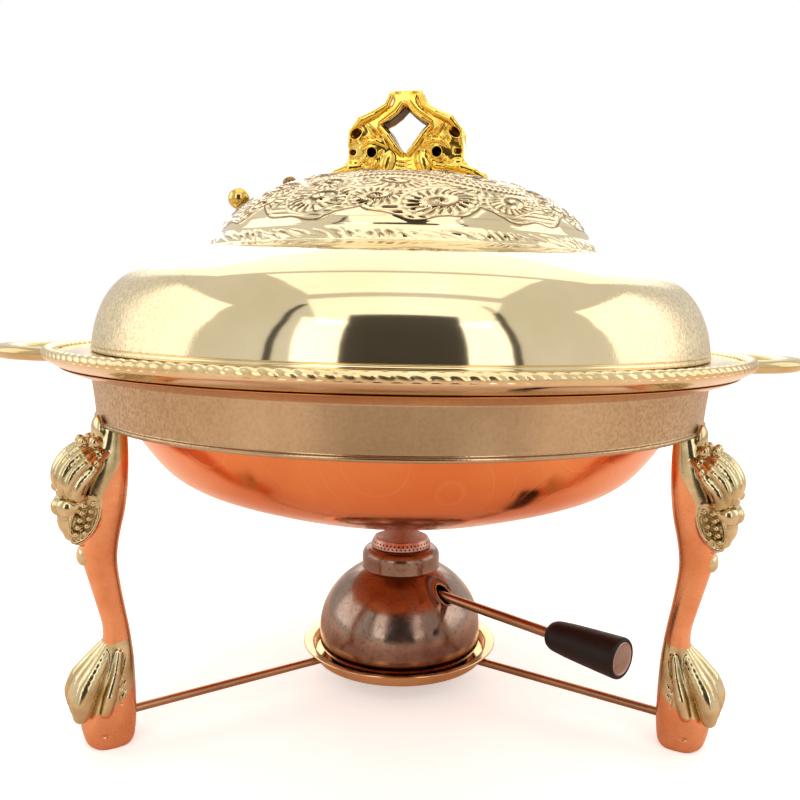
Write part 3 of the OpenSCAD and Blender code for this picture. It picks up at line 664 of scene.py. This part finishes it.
def leg_mesh():
    """One cast leg in its own frame: x is the distance from the axis, z the height."""
    clay = Clay((147.0, -16.5, -1.0), (188.0, 16.5, 162.0), 0.45)
    rows = smooth_line([
        (0, 152.8, 170.0, 10.0), (3, 150.9, 173.0, 11.4), (12, 149.8, 174.4, 12.2), (22, 149.6, 172, 11.8),
        (32, 149.7, 168.5, 10.6), (42, 150.0, 165, 9.2), (50, 150.7, 163.2, 8.0), (58, 151.7, 163.2, 7.4),
        (68, 153.3, 165.4, 7.2), (80, 155, 168.4, 7.4), (90, 155.9, 170.8, 8), (98, 155.3, 172.2, 8.8),
        (106, 153.8, 173.6, 9.8), (114, 151.9, 174.4, 10.6), (124, 150.4, 172.6, 11),
        (134, 149.7, 168.6, 10.8), (144, 149.5, 164.6, 10), (154, 149.8, 161.6, 9.2)], 6)
    z = clay.z
    inner, outer, wide = (np.interp(z, rows[:, 0], rows[:, k]).astype(np.float32) for k in (1, 2, 3))
    depth = (outer - inner) / 2
    k = (abs((clay.x - inner - depth) / depth) ** 2.8 + abs(clay.y / wide) ** 2.8) ** (1 / 2.8)
    shank = (k - 1) * np.minimum(depth, wide)
    clay.d = np.maximum(np.maximum(shank, z - LEG_TOP), -z)
    for c, radii, turn in (((161.8, 0, 152.5), (3.2, 7.6, 7.0), 0),
                           ((172.2, 0, 135.6), (13.2, 11.8, 9.0), -32), ((176.2, 0, 112), (6.2, 8.2, 7.6), 0),
                           ((174.8, 0, 105.6), (4.6, 6.6, 4.6), 0)):
        clay.add(clay.ball(c, radii, turn), 1.2)
    # locks of the mane
    for y, back, drop in ((0, 0, 0), (4.5, 0.2, 0.5), (8.4, 1.2, 2.2), (10.8, 3.2, 5.2), (11.4, 6.2, 9.0)):
        for s in (-1, 1):
            lock = smooth_line([(164.6 - 0.3 * back, s * y * 0.66, 147.2 - 0.7 * drop),
                                (171.4 - 0.8 * back, s * y * 0.96, 145.0 - drop),
                                (178.6 - back, s * y * 1.04, 139.2 - drop),
                                (181.9 - 1.3 * back, s * y, 132.6 - 0.8 * drop),
                                (180.6 - 1.5 * back, s * y * 0.93, 127.2 - 0.5 * drop)], 4)
            t = np.linspace(0, 1, len(lock))
            clay.path(lock, 1.5 + 1.3 * np.sin(math.pi * np.clip(t * 0.75 + 0.1, 0, 1)), 0.3)
    for s in (-1, 1):
        # curls, brow and cheek
        for c, r in (((181.0, s * 7.4, 126.6), 2.7), ((171.4, s * 11.0, 130.8), 3.0),
                     ((167.0, s * 10.4, 136.8), 3.0), ((164.6, s * 6.6, 147.6), 3.0),
                     ((169.4, s * 4.4, 148.0), 2.3), ((163.4, s * 8.6, 142.6), 2.6),
                     ((176.4, s * 5.6, 124.4), 2.2)):
            clay.add(clay.ball(c, (r, r, r)), 0.5)
        clay.path([(160.5, s * 10.2, 143), (164.8, s * 11.4, 139), (168.6, s * 12.2, 133),
                   (171.6, s * 11.6, 126)], (0.8, 1.5, 1.7, 1.4), 0.5)
        clay.add(clay.ball((177.0, s * 5.0, 118.8), (6.4, 5.4, 5.0)), 0.8)
        clay.cut(clay.ball((170.9, s * 12.6, 113.4), (5.8, 4.1, 11.0), 18), 0.4)
        # the open mouth: a lip round a hollow, with two rows of teeth
        lip = [(170.9 + 5.8 * math.cos(t) - 3.4 * math.sin(t), s * (9.5 - 0.9 * math.cos(t)),
                113.4 + 10.8 * math.sin(t)) for t in np.linspace(0, 2 * math.pi, 17)]
        clay.path(lip, [0.95] * len(lip), 0.3)
        for i in range(5):
            t = 6.6 - 3.3 * i
            clay.add(clay.ball((168.9 - 0.3 * t, s * 9.3, 113.4 + t), (1.75, 1.9, 1.5)), 0.25)
            clay.add(clay.ball((172.7 - 0.3 * t, s * 8.9, 113.0 + t), (1.8, 1.9, 1.5)), 0.25)
        clay.add(clay.ball((173.6, s * 8.6, 105.2), (1.7, 1.5, 2.4)), 0.25)
        clay.cut(clay.ball((184.4, s * 2.3, 117.0), (1.6, 1.1, 1.1)), 0.3)
        clay.cut(clay.ball((179.6, s * 5.2, 122.9), (2.2, 2.0, 0.9)), 0.5)
        clay.cut(clay.ball((166, s * 12.6, 8), (2.6, 1.4, 1.2)), 0.5)
        # the side of the paw and its jagged upper edge
        clay.path([(157.6, s * 7.9, 46.5), (159.6, s * 9.6, 37), (163, s * 11.2, 27), (165.4, s * 12.0, 20)],
                  (1.6, 2.2, 2.8, 2.4), 0.5)
        jag = [(155.4, 44.5), (157.8, 36), (156.0, 33.4), (158.0, 30.4), (156.2, 28.6), (158.6, 25.8),
               (158.0, 22.4)]
        clay.path([(x, s * (8.7 + 0.13 * (45 - h)), h) for x, h in jag], [0.5] * len(jag), 0.2, cut=True)
    # snout, chin and the small boss below
    clay.add(clay.ball((181.5, 0, 118.2), (4.0, 4.7, 4.0)), 0.5)
    clay.path([(174, 0, 123), (180, 0, 121.6)], (2.2, 1.8), 0.8)
    clay.cut(clay.ball((174.6, 0, 100.8), (5.5, 9, 1.3), 12), 0.6)
    clay.add(clay.ball((170.0, 0, 94.4), (3.6, 6.0, 5.4), 10), 0.25)
    for y in (-8.8, 0.0, 8.8):
        toe = smooth_line([(160.6, y * 0.3, 49.6), (166.4, y * 0.66, 41.0), (172.4, y * 0.94, 32),
                           (175.4, y, 25.6), (175.9, y, 20.4)], 4)
        clay.path(toe, np.interp(np.linspace(0, 4, len(toe)), range(5), (2.4, 3.9, 5.2, 5.6, 4.4)), 0.3)
        clay.cut(clay.ball((181.4, y, 21.4), (2.6, 0.7, 3.4), 20), 0.4)
    ring = np.maximum(np.sqrt(clay.x ** 2 + clay.y ** 2) - BAND_R, LEG_TOP - clay.z)
    clay.cut(ring, 0.2)
    clay.d = np.maximum(clay.d, -clay.z)
    return clay.mesh()


FULL_REACH, DRAWN_IN = 176, 0.19


def legs():
    """Three castings from one mesh. What stands past FULL_REACH is drawn in, to stay inside the CAD leg."""
    verts, faces = leg_mesh()
    verts[:, 0] -= DRAWN_IN * np.maximum(verts[:, 0] - FULL_REACH, 0)
    x, y, z = verts.T
    edge = np.interp(z, [98, 101, 104, 108, 113, 118, 122, 125, 147, 150, 160],
                     [178, 176, 171.2, 167.6, 164.8, 163.6, 163.6, 162.8, 149.0, 146, 140])
    head = np.where(z > 99, x - edge, -5)
    boss = np.minimum(5.9 - np.sqrt((y / 1.0) ** 2 + (z - 94.4) ** 2), x - 168.6)
    sole = np.interp(x, [149.5, 152, 157, 163, 170, 176, 181], [32, 29, 24.5, 21, 18.5, 16.5, 15])
    paw = np.minimum(z - sole, 51.5 - 0.2 * (x - 158) - z)
    brass_part = np.maximum(np.maximum(head, boss), paw)
    first = make_object("leg_cast_front_left", verts, faces, cast, None)
    relax(first, 1, 0.4)
    mark(first, "brass", np.clip(0.5 + brass_part / 0.9, 0, 1))
    for name, angle, node in (("leg_cast_front_left", -150, "leg_front_left"),
                              ("leg_cast_front_right", -30, "leg_front_right"),
                              ("leg_cast_back", 90, "leg_back")):
        obj = first if angle == -150 else first.copy()
        obj.name = name
        if obj is not first:
            bpy.context.scene.collection.objects.link(obj)
        obj.matrix_world = Matrix.Rotation(math.radians(angle), 4, "Z")
        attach(obj, "stand")
        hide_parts(node)


legs()


# ------------------------------------------------------------------ finial
def outline_distance(points, x, z):
    """Signed distance to a closed outline in the x, z plane; negative inside."""
    p = np.array(points, float)
    q = np.roll(p, -1, 0)
    best = np.full(np.broadcast(x, z).shape, 1e9, np.float32)
    inside = np.zeros(best.shape, bool)
    for (ax, az), (bx, bz) in zip(p, q):
        ex, ez = bx - ax, bz - az
        t = np.clip(((x - ax) * ex + (z - az) * ez) / (ex * ex + ez * ez + 1e-12), 0, 1)
        best = np.minimum(best, (x - ax - t * ex) ** 2 + (z - az - t * ez) ** 2)
        if az != bz:
            inside ^= ((az > z) != (bz > z)) & (x < (z - az) / (bz - az) * ex + ax)
    return np.sqrt(best) * np.where(inside, -1, 1)


def mirrored(half):
    """A half outline and its mirror image across x = 0, as one closed outline."""
    return [tuple(p) for p in half] + [(-a, b) for a, b in half[::-1]]


def slab(d2, y, half, edge):
    """A plate of a flat outline's shape, half thick to each side, with rounded edges."""
    a, b = d2 + edge, abs(y) - half + edge
    return np.sqrt(np.maximum(a, 0) ** 2 + np.maximum(b, 0) ** 2) + np.minimum(np.maximum(a, b), 0) - edge


FINIAL_H, FINIAL_DRAWN = 44.9, 42.5      # its real height, and the height that the points below are given for
FINIAL_TURN = math.radians(-12)
DIAMOND = smooth_line([(0, 12), (2.6, 13.8), (5.8, 19), (8.2, 23), (11.0, 26.2), (7.2, 28), (3, 31.2),
                       (0, 34)], 4)
EYE, EAR, CURL = (16.6, 12.2), (25.0, 21.6), (27.2, 12.6)


def finial_half(clay, s, f):
    """One animal head, on the side s and the face f of the finial."""
    y = f * 6.4
    for c, radii, turn, blend in (
            ((17.5, 4.6, 13.0), (10.0, 3.9, 9.0), 0, 1.5), ((24.4, 4.4, 20.8), (5.0, 3.4, 5.6), 0, 1.2),
            ((9.4, 5.0, 7.4), (3.8, 3.4, 6.2), 24 * s, 0.8), ((16.4, 6.8, 12.2), (4.4, 2.2, 4.2), 0, 0.5),
            ((26.4, 6.0, 7.0), (4.0, 2.0, 2.4), 0, 0.5)):
        clay.add(clay.ball((s * c[0], f * c[1], c[2]), radii, turn), blend)
    for route, size in (
            (((7.4, 5.6, 40), (9.4, 6.2, 35), (15.4, 6.4, 31.2), (22.8, 6.4, 28.0), (27.6, 6.2, 22.4),
              (28.6, 6.0, 16.2)), (1.4, 1.5, 1.8, 2.0, 1.6, 1.0)),
            (((1.4, 6.5, 35.8), (4.4, 6.7, 31.8), (8.6, 6.8, 28.8), (12.8, 6.8, 26.4)), (1.1, 1.2, 1.2, 0.8)),
            (((12.6, 6.7, 24.4), (9.0, 7.0, 20.2), (5.4, 7.1, 15.4), (1.6, 6.9, 11.4)), (1.2, 1.7, 1.6, 1.1)),
            (((19.0, 7.4, 25.6), (15.6, 7.6, 22.0), (12.0, 7.8, 19.4), (9.4, 7.6, 15.2)),
             (1.0, 1.4, 1.4, 0.8)),
            (((10.8, 8.0, 16.0), (14.2, 8.4, 17.8), (18.6, 8.4, 17.4), (22.2, 7.8, 14.4)),
             (0.8, 1.2, 1.2, 0.7)),
            (((21.4, 6.6, 5.8), (28.6, 7.0, 4.8), (35.6, 6.8, 2.4), (41.0, 6.4, -1.0)), (1.3, 1.9, 1.8, 1.3)),
            (((24.0, 6.4, 0.4), (30.6, 6.8, -0.4), (36.4, 6.6, -2.4)), (1.2, 1.5, 1.2)),
            (((13.4, 7.0, 8.4), (16.2, 7.4, 5.6), (20.2, 7.2, 5.0), (22.8, 6.8, 8.0)), (0.9, 1.2, 1.1, 0.7))):
        clay.path([(s * p, f * q, r) for p, q, r in route], size, 0.3)
    for c, radii, turn in (
            ((EAR[0], 8.4, EAR[1]), (3.6, 3.4, 2.2), -38 * s), ((CURL[0], 8.2, CURL[1]), (2.5, 3.0, 1.9), 0),
            ((14.2, 8.6, 21.4), (4.6, 1.4, 0.8), 40 * s), ((11.6, 8.4, 12.0), (1.0, 1.4, 3.0), 30 * s),
            ((27.4, 8.0, 2.2), (6.4, 1.6, 0.9), -12 * s), ((20.6, 8.4, 8.2), (2.0, 1.4, 0.6), 30 * s),
            ((13.2, 8.2, 4.6), (0.7, 1.6, 3.2), -30 * s), ((21.8, 8.2, 18.6), (0.6, 1.6, 2.2), 20 * s)):
        clay.cut(clay.ball((s * c[0], f * c[1], c[2]), radii, turn), 0.3)
    for i in range(4):
        bead = (s * (13.2 + 2.2 * i), f * 8.0, 19.6 + 0.9 * math.sin(i * 2))
        clay.add(clay.ball(bead, (0.9, 0.9, 0.9)), 0.3)
    for i in range(3):
        clay.add(clay.ball((s * (19.6 + 1.5 * i), f * 7.6, 10.4 - 1.5 * i), (1.1, 1.2, 1.1)), 0.3)
    clay.cut(clay.rod((s * EYE[0], f * 4.2, EYE[1]), (s * EYE[0], f * 12, EYE[1]), 2.3, 2.5), 0.3)
    clay.cut(clay.ball((s * 4.4, y, 41.0), (1.5, 1.2, 0.7), 0), 0.2)


def finial_piece():
    """Two pairs of heads round a pierced diamond, cast in one and set on the crown."""
    clay = Clay((-43, -10, -4.5), (43, 10, 44), 0.38)
    x, z = clay.x[:, 0, :], clay.z[0]
    outer = smooth_line([(42, -4), (41.8, 1.2), (37, 3.4), (32.5, 6), (29.8, 9.6), (29.4, 16), (28, 22),
                         (22.5, 27.6), (15, 30.4), (9.2, 33.6), (6.4, 37.2), (7.2, 40.4), (8.4, 42.2)], 4)
    opening = outline_distance(mirrored(DIAMOND), x, z)
    both = np.maximum(outline_distance(mirrored(outer), x, z), -opening)
    clay.d = slab(both[:, None, :], clay.y, 6.2, 1.3).astype(np.float32)
    for s in (-1, 1):
        for f in (-1, 1):
            finial_half(clay, s, f)
    for f in (-1, 1):
        for h in (2.0, 4.1, 6.2, 8.2):
            groove = [(-4.0, f * 6.6, h), (0, f * 6.6, h - 0.8), (4.0, f * 6.6, h)]
            clay.path(groove, (0.5, 0.8, 0.5), 0.2, cut=True)
    clay.cut(opening[:, None, :] + 0.8 + 0 * clay.y, 0.3)
    verts, faces = clay.mesh()
    x, y, z = verts.T
    # deep marks the opening and the eye, ear and curl pits, which the finial's material paints near black as
    # painted shade
    near_opening = np.clip((1.0 - outline_distance(mirrored(DIAMOND), x, z)) / 0.5, 0, 1)
    deep = [near_opening * np.clip((6.5 - abs(y)) / 0.8, 0, 1)]
    for spot, size, deepest in ((EYE, 2.9, 8.4), (EAR, 2.6, 6.6), (CURL, 1.8, 6.6)):
        near_pit = np.clip((size - np.hypot(abs(x) - spot[0], z - spot[1])) / 0.5, 0, 1)
        deep.append(near_pit * np.clip((deepest - abs(y)) / 0.5, 0, 1))
    verts *= FINIAL_H / FINIAL_DRAWN
    c, s = math.cos(FINIAL_TURN), math.sin(FINIAL_TURN)
    x, y, z = verts.T
    verts = np.stack([x * c - y * s, x * s + y * c, z + CROWN], 1)
    r = np.hypot(verts[:, 0], verts[:, 1])
    verts[:, 2] = np.maximum(verts[:, 2], np.where(r > 10, surface_height(r) + 0.05, CROWN))
    verts[:, 2] = np.minimum(verts[:, 2], CROWN + FINIAL_H - 0.1)
    cast_piece = relax(make_object("finial_cast", verts, faces, bright_gold, "lid", ("finial",)), 1, 0.35)
    mark(cast_piece, "deep", np.maximum.reduce(deep))


finial_piece()


# ------------------------------------------------------------------ steam vent
def frame_at(origin, z_axis, x_hint):
    """A frame with its Z along z_axis and its X as near x_hint as it goes."""
    z = Vector(z_axis).normalized()
    y = z.cross(Vector(x_hint)).normalized()
    x = y.cross(z)
    m = Matrix((x, y, z)).transposed().to_4x4()
    m.translation = Vector(origin)
    return m


def place(obj, matrix, body, nodes=()):
    """Moves a piece made at the origin, in millimetres, into place and lets it ride."""
    m = matrix.copy()
    m.translation = m.translation * MM
    obj.data.transform(m)
    obj.data.update()
    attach(obj, body)
    if nodes:
        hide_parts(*nodes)
    return obj


VENT_RADIUS, VENT_HEIGHT, VENT_TILT = 63, FLANGE + 84.9, math.radians(20)
PLATE_LENGTH, PLATE_BACK, PLATE_TIP = 36, 6.0, 5.5      # between its round ends' centres, and their radii
PLATE_GAP, PLATE_SHEET = 2.8, 1.0
KNOB_R, KNOB_H, KNOB_LEAN = 6.0, 11.2, math.radians(17)
out = Vector((math.cos(VENT_BEARING), math.sin(VENT_BEARING), 0))
vent = frame_at(out * VENT_RADIUS + Vector((0, 0, VENT_HEIGHT)),
                out * math.sin(VENT_TILT) + Vector((0, 0, math.cos(VENT_TILT))), out)


def lid_under(x, y):
    """Height of the lid's surface in the vent's frame at x, y."""
    t = np.zeros(np.shape(x))
    m = np.array(vent)
    for _ in range(12):
        p = m[:3, 3] + np.stack([x, y, t], -1) @ m[:3, :3].T
        t = t - (p[..., 2] - surface_height(np.hypot(p[..., 0], p[..., 1]))) * 0.8
    return t


def vent_cover_plate():
    """A leaf of sheet that follows the crown at PLATE_GAP above it."""
    rows, cols = 60, 13
    whole = PLATE_BACK + PLATE_LENGTH + PLATE_TIP
    x = -PLATE_BACK + whole * (0.5 - 0.5 * np.cos(math.pi * np.linspace(0, 1, rows)))
    widths = smooth_line([(6,), (7.4,), (8.0,), (7.2,), (5.5,)], 10)[:40, 0]
    wide = np.interp(x, np.linspace(0, PLATE_LENGTH, 40), widths)
    wide = np.where(x < 0, np.sqrt(np.maximum(PLATE_BACK ** 2 - x ** 2, 0.02)), wide)
    past = x - PLATE_LENGTH
    wide = np.where(past > 0, np.sqrt(np.maximum(PLATE_TIP ** 2 - past ** 2, 0.02)), wide)
    gx, gy = np.repeat(x[:, None], cols, 1), wide[:, None] * np.linspace(-1, 1, cols)
    low = lid_under(gx, gy) + PLATE_GAP
    loop = []
    for z, order in ((low, slice(None)), (low + PLATE_SHEET, slice(None, None, -1))):
        loop.append(np.stack([gx[:, order], gy[:, order], z[:, order]], -1))
    verts = np.concatenate(loop, 1)
    faces = list(grid_faces(rows, 2 * cols, False, True))
    faces += [tuple(range(2 * cols))[::-1], tuple(range((rows - 1) * 2 * cols, rows * 2 * cols))]
    obj = weld(make_object("vent_plate_sheet", verts.reshape(-1, 3), faces, aged_brass, None))
    bevel = obj.modifiers.new("edge", "BEVEL")
    bevel.width, bevel.segments, bevel.limit_method, bevel.angle_limit = 0.0003, 2, "ANGLE", math.radians(40)
    place(obj, vent, "vent_cover", ("vent_plate",))


vent_cover_plate()
rivet = revolve("vent_rivet_head", [
    (0, -4.8), (1.6, -4.8), (1.6, 0.45), (2.8, 0.45), (2.8, 2.3), (1.6, 2.3), (1.6, 4.2), (3.3, 4.2),
    (3.8, 4.6), (3.95, 5.6), (3.6, 6.9), (2.8, 7.8), (1.5, 8.4), (0, 8.5)], aged_brass, None, turns=40,
    closed=False)
place(rivet, vent, "lid", ("vent_pivot",))
knob_axis = vent @ Matrix.Translation((26.8, 0, -3.6)) @ Matrix.Rotation(KNOB_LEAN, 4, "Y")
knob_foot = [(0, 1.6), (1.4, 1.6), (1.4, 3.9), (3.4, 3.9), (3.6, 4.6), (2.8, 5.4)]
ball = [(KNOB_R * math.cos(t), KNOB_H + KNOB_R * math.sin(t)) for t in np.radians(np.arange(-62, 91, 8))]
knob = revolve("vent_knob_ball", knob_foot + ball + [(0, KNOB_H + KNOB_R)], knob_gold, None, turns=48,
               closed=False)
place(knob, knob_axis, "vent_cover", ("vent_knob",))

# ------------------------------------------------------------------ burner
FLOOR, LEVER = 13.3, 54.1                 # heights of the tray's floor and of the lever's axis
TANK_R, TANK_H, TANK_MID = 46, 41, 28     # half width, half height and middle of the tank's dome
LEVER_TURN = math.radians(-46)
revolve("tray_dish", smooth_line([
    (0, FLOOR - 0.9), (30, FLOOR - 0.9), (46.6, FLOOR - 0.8), (48.9, FLOOR + 0.1), (50.0, FLOOR + 2.4),
    (50.6, FLOOR + 5.2), (51.8, FLOOR + 5.95), (54.0, FLOOR + 6.2), (55.1, FLOOR + 6.7), (54.9, FLOOR + 7.4),
    (54.0, FLOOR + 7.3), (51.4, FLOOR + 6.85), (49.8, FLOOR + 6.2), (49.4, FLOOR + 4.4), (48.8, FLOOR + 1.6),
    (46.6, FLOOR + 0.1), (30, FLOOR), (0, FLOOR)], 5), rose_plate, "stand", ("burner_tray",), closed=False)

tank_foot = [(38 + 8 * math.cos(t), FLOOR + 9 + 8 * math.sin(t))
             for t in np.radians(np.arange(-90, 1, 7.5))]
tank_dome = [(TANK_R * math.cos(t), TANK_MID + TANK_H * math.sin(t))
             for t in np.radians(np.arange(0, 61, 2.5))]
tank_neck = [(21.6, 64.0), (20.8, 64.8), (20.6, 66), (20.6, 69)]
tank_line = np.array(tank_foot + tank_dome + tank_neck)
tank = revolve("tank_shell", np.vstack([tank_line, offset_line(tank_line, 1.0)[::-1]]), tank_steel, None)
lever = frame_at((0, 0, LEVER), (math.cos(LEVER_TURN), math.sin(LEVER_TURN), 0), (0, 0, -1))

# The lever's hole is drilled through the tank's wall and the result applied.
drill = revolve("drill", [(0, 20), (4.4, 20), (4.4, 60), (0, 60)], None, None, (), 48, closed=False)
drill.data.transform(Matrix.Translation((-0.0008, 0, 0)))
place(drill, lever, "burner")
hole = tank.modifiers.new("hole", "BOOLEAN")
hole.object, hole.operation, hole.solver = drill, "DIFFERENCE", "EXACT"
bpy.context.view_layer.update()
tank.data = bpy.data.meshes.new_from_object(tank.evaluated_get(bpy.context.evaluated_depsgraph_get()))
tank.modifiers.clear()
bpy.data.objects.remove(drill)
tank.data.shade_smooth()
tank.data.set_sharp_from_angle(angle=math.radians(35))
place(tank, Matrix.Identity(4), "burner", ("burner_tank",))


def on_tank(across, up, lift):
    """A point on the tank above the lever's hole, across and up from the lever's axis."""
    height = LEVER + up
    radius_squared = (TANK_R + lift) ** 2 * (1 - ((height - TANK_MID) / (TANK_H + lift)) ** 2)
    return Vector((-up, across, math.sqrt(radius_squared - across ** 2)))


def turn_mark():
    """The tapered arc beside the lever's hole, raised a hair above the tank."""
    verts = []
    steps = 40
    sweep_angles = np.radians(np.linspace(205, 25, steps))
    for k, t in enumerate(sweep_angles):
        thick = 3.0 * (1 - k / (steps - 1)) ** 0.8 + 0.5
        for ring in (6.6, 6.6 + thick):
            verts.append(on_tank(ring * math.cos(t), ring * math.sin(t) + 0.8, 0.12))
    faces = [(2 * k, 2 * k + 1, 2 * k + 3, 2 * k + 2) for k in range(steps - 1)]
    t = sweep_angles[-1]
    tip = len(verts)
    for ring, a in ((5.4, t), (8.4, t), (6.9, t - 0.42)):
        verts.append(on_tank(ring * math.cos(a), ring * math.sin(a) + 0.8, 0.12))
    faces.append((tip, tip + 1, tip + 2))
    obj = make_object("turn_mark", np.array([tuple(v) for v in verts]), faces, dark_mark, None)
    solid = obj.modifiers.new("solid", "SOLIDIFY")
    solid.thickness, solid.offset = 0.0001, 0
    place(obj, lever, "burner")


turn_mark()
lip_path = [on_tank(4.7 * math.cos(t), 4.7 * math.sin(t) + 0.8, 0.1)
            for t in np.radians(np.arange(0, 360, 7.5))]
eyelet = sweep("hole_lip", lip_path, [(0.55, 0.45)] * len(lip_path), dark_copper, None, sides=12, closed=True,
               up=(0.35, 0, 1))
place(eyelet, lever, "burner")

revolve("collar_shell", smooth_line([
    (20.7, 65.0), (21.0, 63.6), (21.7, 62.6), (22.0, 63.2), (22.0, 66), (22.0, 70.6), (21.4, 72.8),
    (19.8, 74.8), (17.4, 75.5), (15, 75.6), (11.6, 75.6), (11.4, 75.0), (11.6, 74.4), (15, 74.4),
    (17.6, 74.0), (19.9, 71.6), (20.7, 69.6), (20.7, 65.0)], 5)[:-1], tank_steel, "burner", ("burner_collar",), 160)

grip_line = smooth_line([
    (2.7, 106.4), (4.2, 106.1), (6.0, 107.2), (7.2, 109.6), (7.75, 113), (8.4, 120), (9.1, 132), (9.65, 143),
    (9.7, 145.4), (9.2, 146.5), (8.3, 146.85), (8.02, 146.6)], 5)
grip_bore = [(8.02, 145.9), (0, 145.9), (0, 137.2), (2.65, 137.2)]
grip = revolve("grip_moulding", np.vstack([grip_line, grip_bore]), grip_black, None, turns=96)
place(grip, lever, "lever", ("lever_grip",))
cap = revolve("grip_disc", [
    (0, 146.0), (7.96, 146.0), (7.96, 146.5), (7.5, 146.75), (7.1, 146.75), (6.9, 146.55), (6.5, 146.5),
    (3, 146.5), (0, 146.5)], cap_metal, None, turns=72, closed=False)
place(cap, lever, "lever", ("grip_cap",))

# ------------------------------------------------------------------ floor, light and camera
def standing(left, right, low, high, y):
    return [(left, y, low), (right, y, low), (right, y, high), (left, y, high)]


def lying(left, right, front, back, z):
    return [(left, front, z), (right, front, z), (right, back, z), (left, back, z)]


def staged(name, rectangles, materials):
    """Flat rectangles, in metres, that belong to the studio, with one material for each."""
    mesh = bpy.data.meshes.new(name)
    corners = [corner for rectangle in rectangles for corner in rectangle]
    mesh.from_pydata(corners, [], [tuple(range(4 * k, 4 * k + 4)) for k in range(len(rectangles))])
    for k, material in enumerate(materials):
        mesh.materials.append(material)
        mesh.polygons[k].material_index = k
    obj = bpy.data.objects.new(name, mesh)
    bpy.context.scene.collection.objects.link(obj)
    return obj


def seen_or_bounced(tree, bounced, seen, end):
    """The camera sees the shader seen; every other ray meets the shader bounced."""
    ray = tree.nodes.new("ShaderNodeLightPath")
    choose = tree.nodes.new("ShaderNodeMixShader")
    tree.links.new(ray.outputs["Is Camera Ray"], choose.inputs[0])
    tree.links.new(bounced.outputs[0], choose.inputs[1])
    tree.links.new(seen.outputs[0], choose.inputs[2])
    tree.links.new(choose.outputs[0], tree.nodes[end].inputs["Surface"])


def floor_material():
    """Pale where it is seen, and a warmer tone in what the metal reflects."""
    p = Paint("pale_floor", (0.92, 0.91, 0.90), 0.0, Roughness=0.9, Emission_Color=(1, 0.98, 0.96, 1),
              Emission_Strength=0.42)
    warm = p.node("ShaderNodeBsdfDiffuse", Color=(0.80, 0.62, 0.52, 1))
    seen_or_bounced(p.tree, warm, p.shader, "Material Output")
    return p.material


staged("floor", [lying(-6, 6, -6, 6, 0)], [floor_material()])

# Cards that show only in reflections give the polished metal its contrast: black ones stand in front, and
# brown ones lie on the floor.
black, brown = (Paint(name, colour, 0.0).material for name, colour in (
    ("black_card", (0.012, 0.009, 0.007)), ("brown_card", (0.56, 0.42, 0.34))))
cards = staged("dark_cards",
               [standing(-0.43, 0.42, 0.02, 1.2, -1.15), standing(0.80, 0.90, 0.01, 2.0, -1.15),
                standing(-1.18, -1.06, 0.01, 2.0, -1.15), lying(-0.29, 0.44, -1.14, -0.48, 0.003),
                lying(0.84, 0.94, -1.14, -0.48, 0.003), lying(-0.98, -0.88, -1.14, -0.48, 0.003)],
               [black] * 3 + [brown] * 3)
cards.visible_camera = cards.visible_shadow = cards.visible_diffuse = False

world = bpy.data.worlds.new("studio")
bpy.context.scene.world = world
world.use_nodes = True
ambient = world.node_tree.nodes["Background"]
ambient.inputs["Color"].default_value = (0.80, 0.77, 0.72, 1)
backdrop = world.node_tree.nodes.new("ShaderNodeBackground")
backdrop.inputs["Color"].default_value = (1, 1, 1, 1)
seen_or_bounced(world.node_tree, ambient, backdrop, "World Output")


def softbox(name, place_at, width, height, power):
    """A soft rectangular lamp, in metres and watts, turned to the middle of the object."""
    light = bpy.data.lights.new(name, "AREA")
    light.shape, light.size, light.size_y = "RECTANGLE", width, height
    light.energy, light.color = power, (1, 0.97, 0.92)
    obj = bpy.data.objects.new(name, light)
    bpy.context.scene.collection.objects.link(obj)
    obj.location = place_at
    obj.rotation_euler = (Vector((0, 0, 0.2)) - Vector(place_at)).to_track_quat("-Z", "Y").to_euler()


softbox("front_left", (-0.75, -1.45, 0.75), 0.55, 1.1, 2.2)
softbox("front_right", (0.75, -1.45, 0.75), 0.55, 1.1, 2.2)
softbox("front_top", (0, -1.1, 1.5), 1.7, 0.8, 3.2)
softbox("back_top", (0, 1.5, 1.5), 2.8, 1.5, 9.5)
softbox("side_left", (-1.6, 0.1, 0.8), 1.2, 1.2, 4.2)
softbox("side_right", (1.6, 0.1, 0.8), 1.2, 1.2, 4.2)
softbox("back", (0, 1.7, 0.9), 1.8, 1.0, 6.5)
softbox("top", (0, 0.0, 1.7), 1.5, 1.2, 4.4)

CAMERA_AT = (0, -0.4629, 0.2120)
YAW, PITCH, ROLL = math.radians(1.61), math.radians(8.21), math.radians(1.15)
ahead = Vector((math.sin(YAW) * math.cos(PITCH), math.cos(YAW) * math.cos(PITCH), -math.sin(PITCH)))
right = Vector((math.cos(YAW), -math.sin(YAW), 0))
upward = right.cross(ahead)
cam_x = math.cos(ROLL) * right + math.sin(ROLL) * upward
cam_y = math.cos(ROLL) * upward - math.sin(ROLL) * right
camera_data = bpy.data.cameras.new("camera")
camera_data.sensor_width = 36
camera_data.lens = 37.36
camera_data.shift_x, camera_data.shift_y = -0.0326, 0.0319
camera_data.clip_start = 0.01
camera = bpy.data.objects.new("camera", camera_data)
bpy.context.scene.collection.objects.link(camera)
pose = Matrix((cam_x, cam_y, -ahead)).transposed().to_4x4()
pose.translation = Vector(CAMERA_AT)
camera.matrix_world = pose
bpy.context.scene.camera = camera
bpy.context.scene.view_settings.view_transform = "Standard"
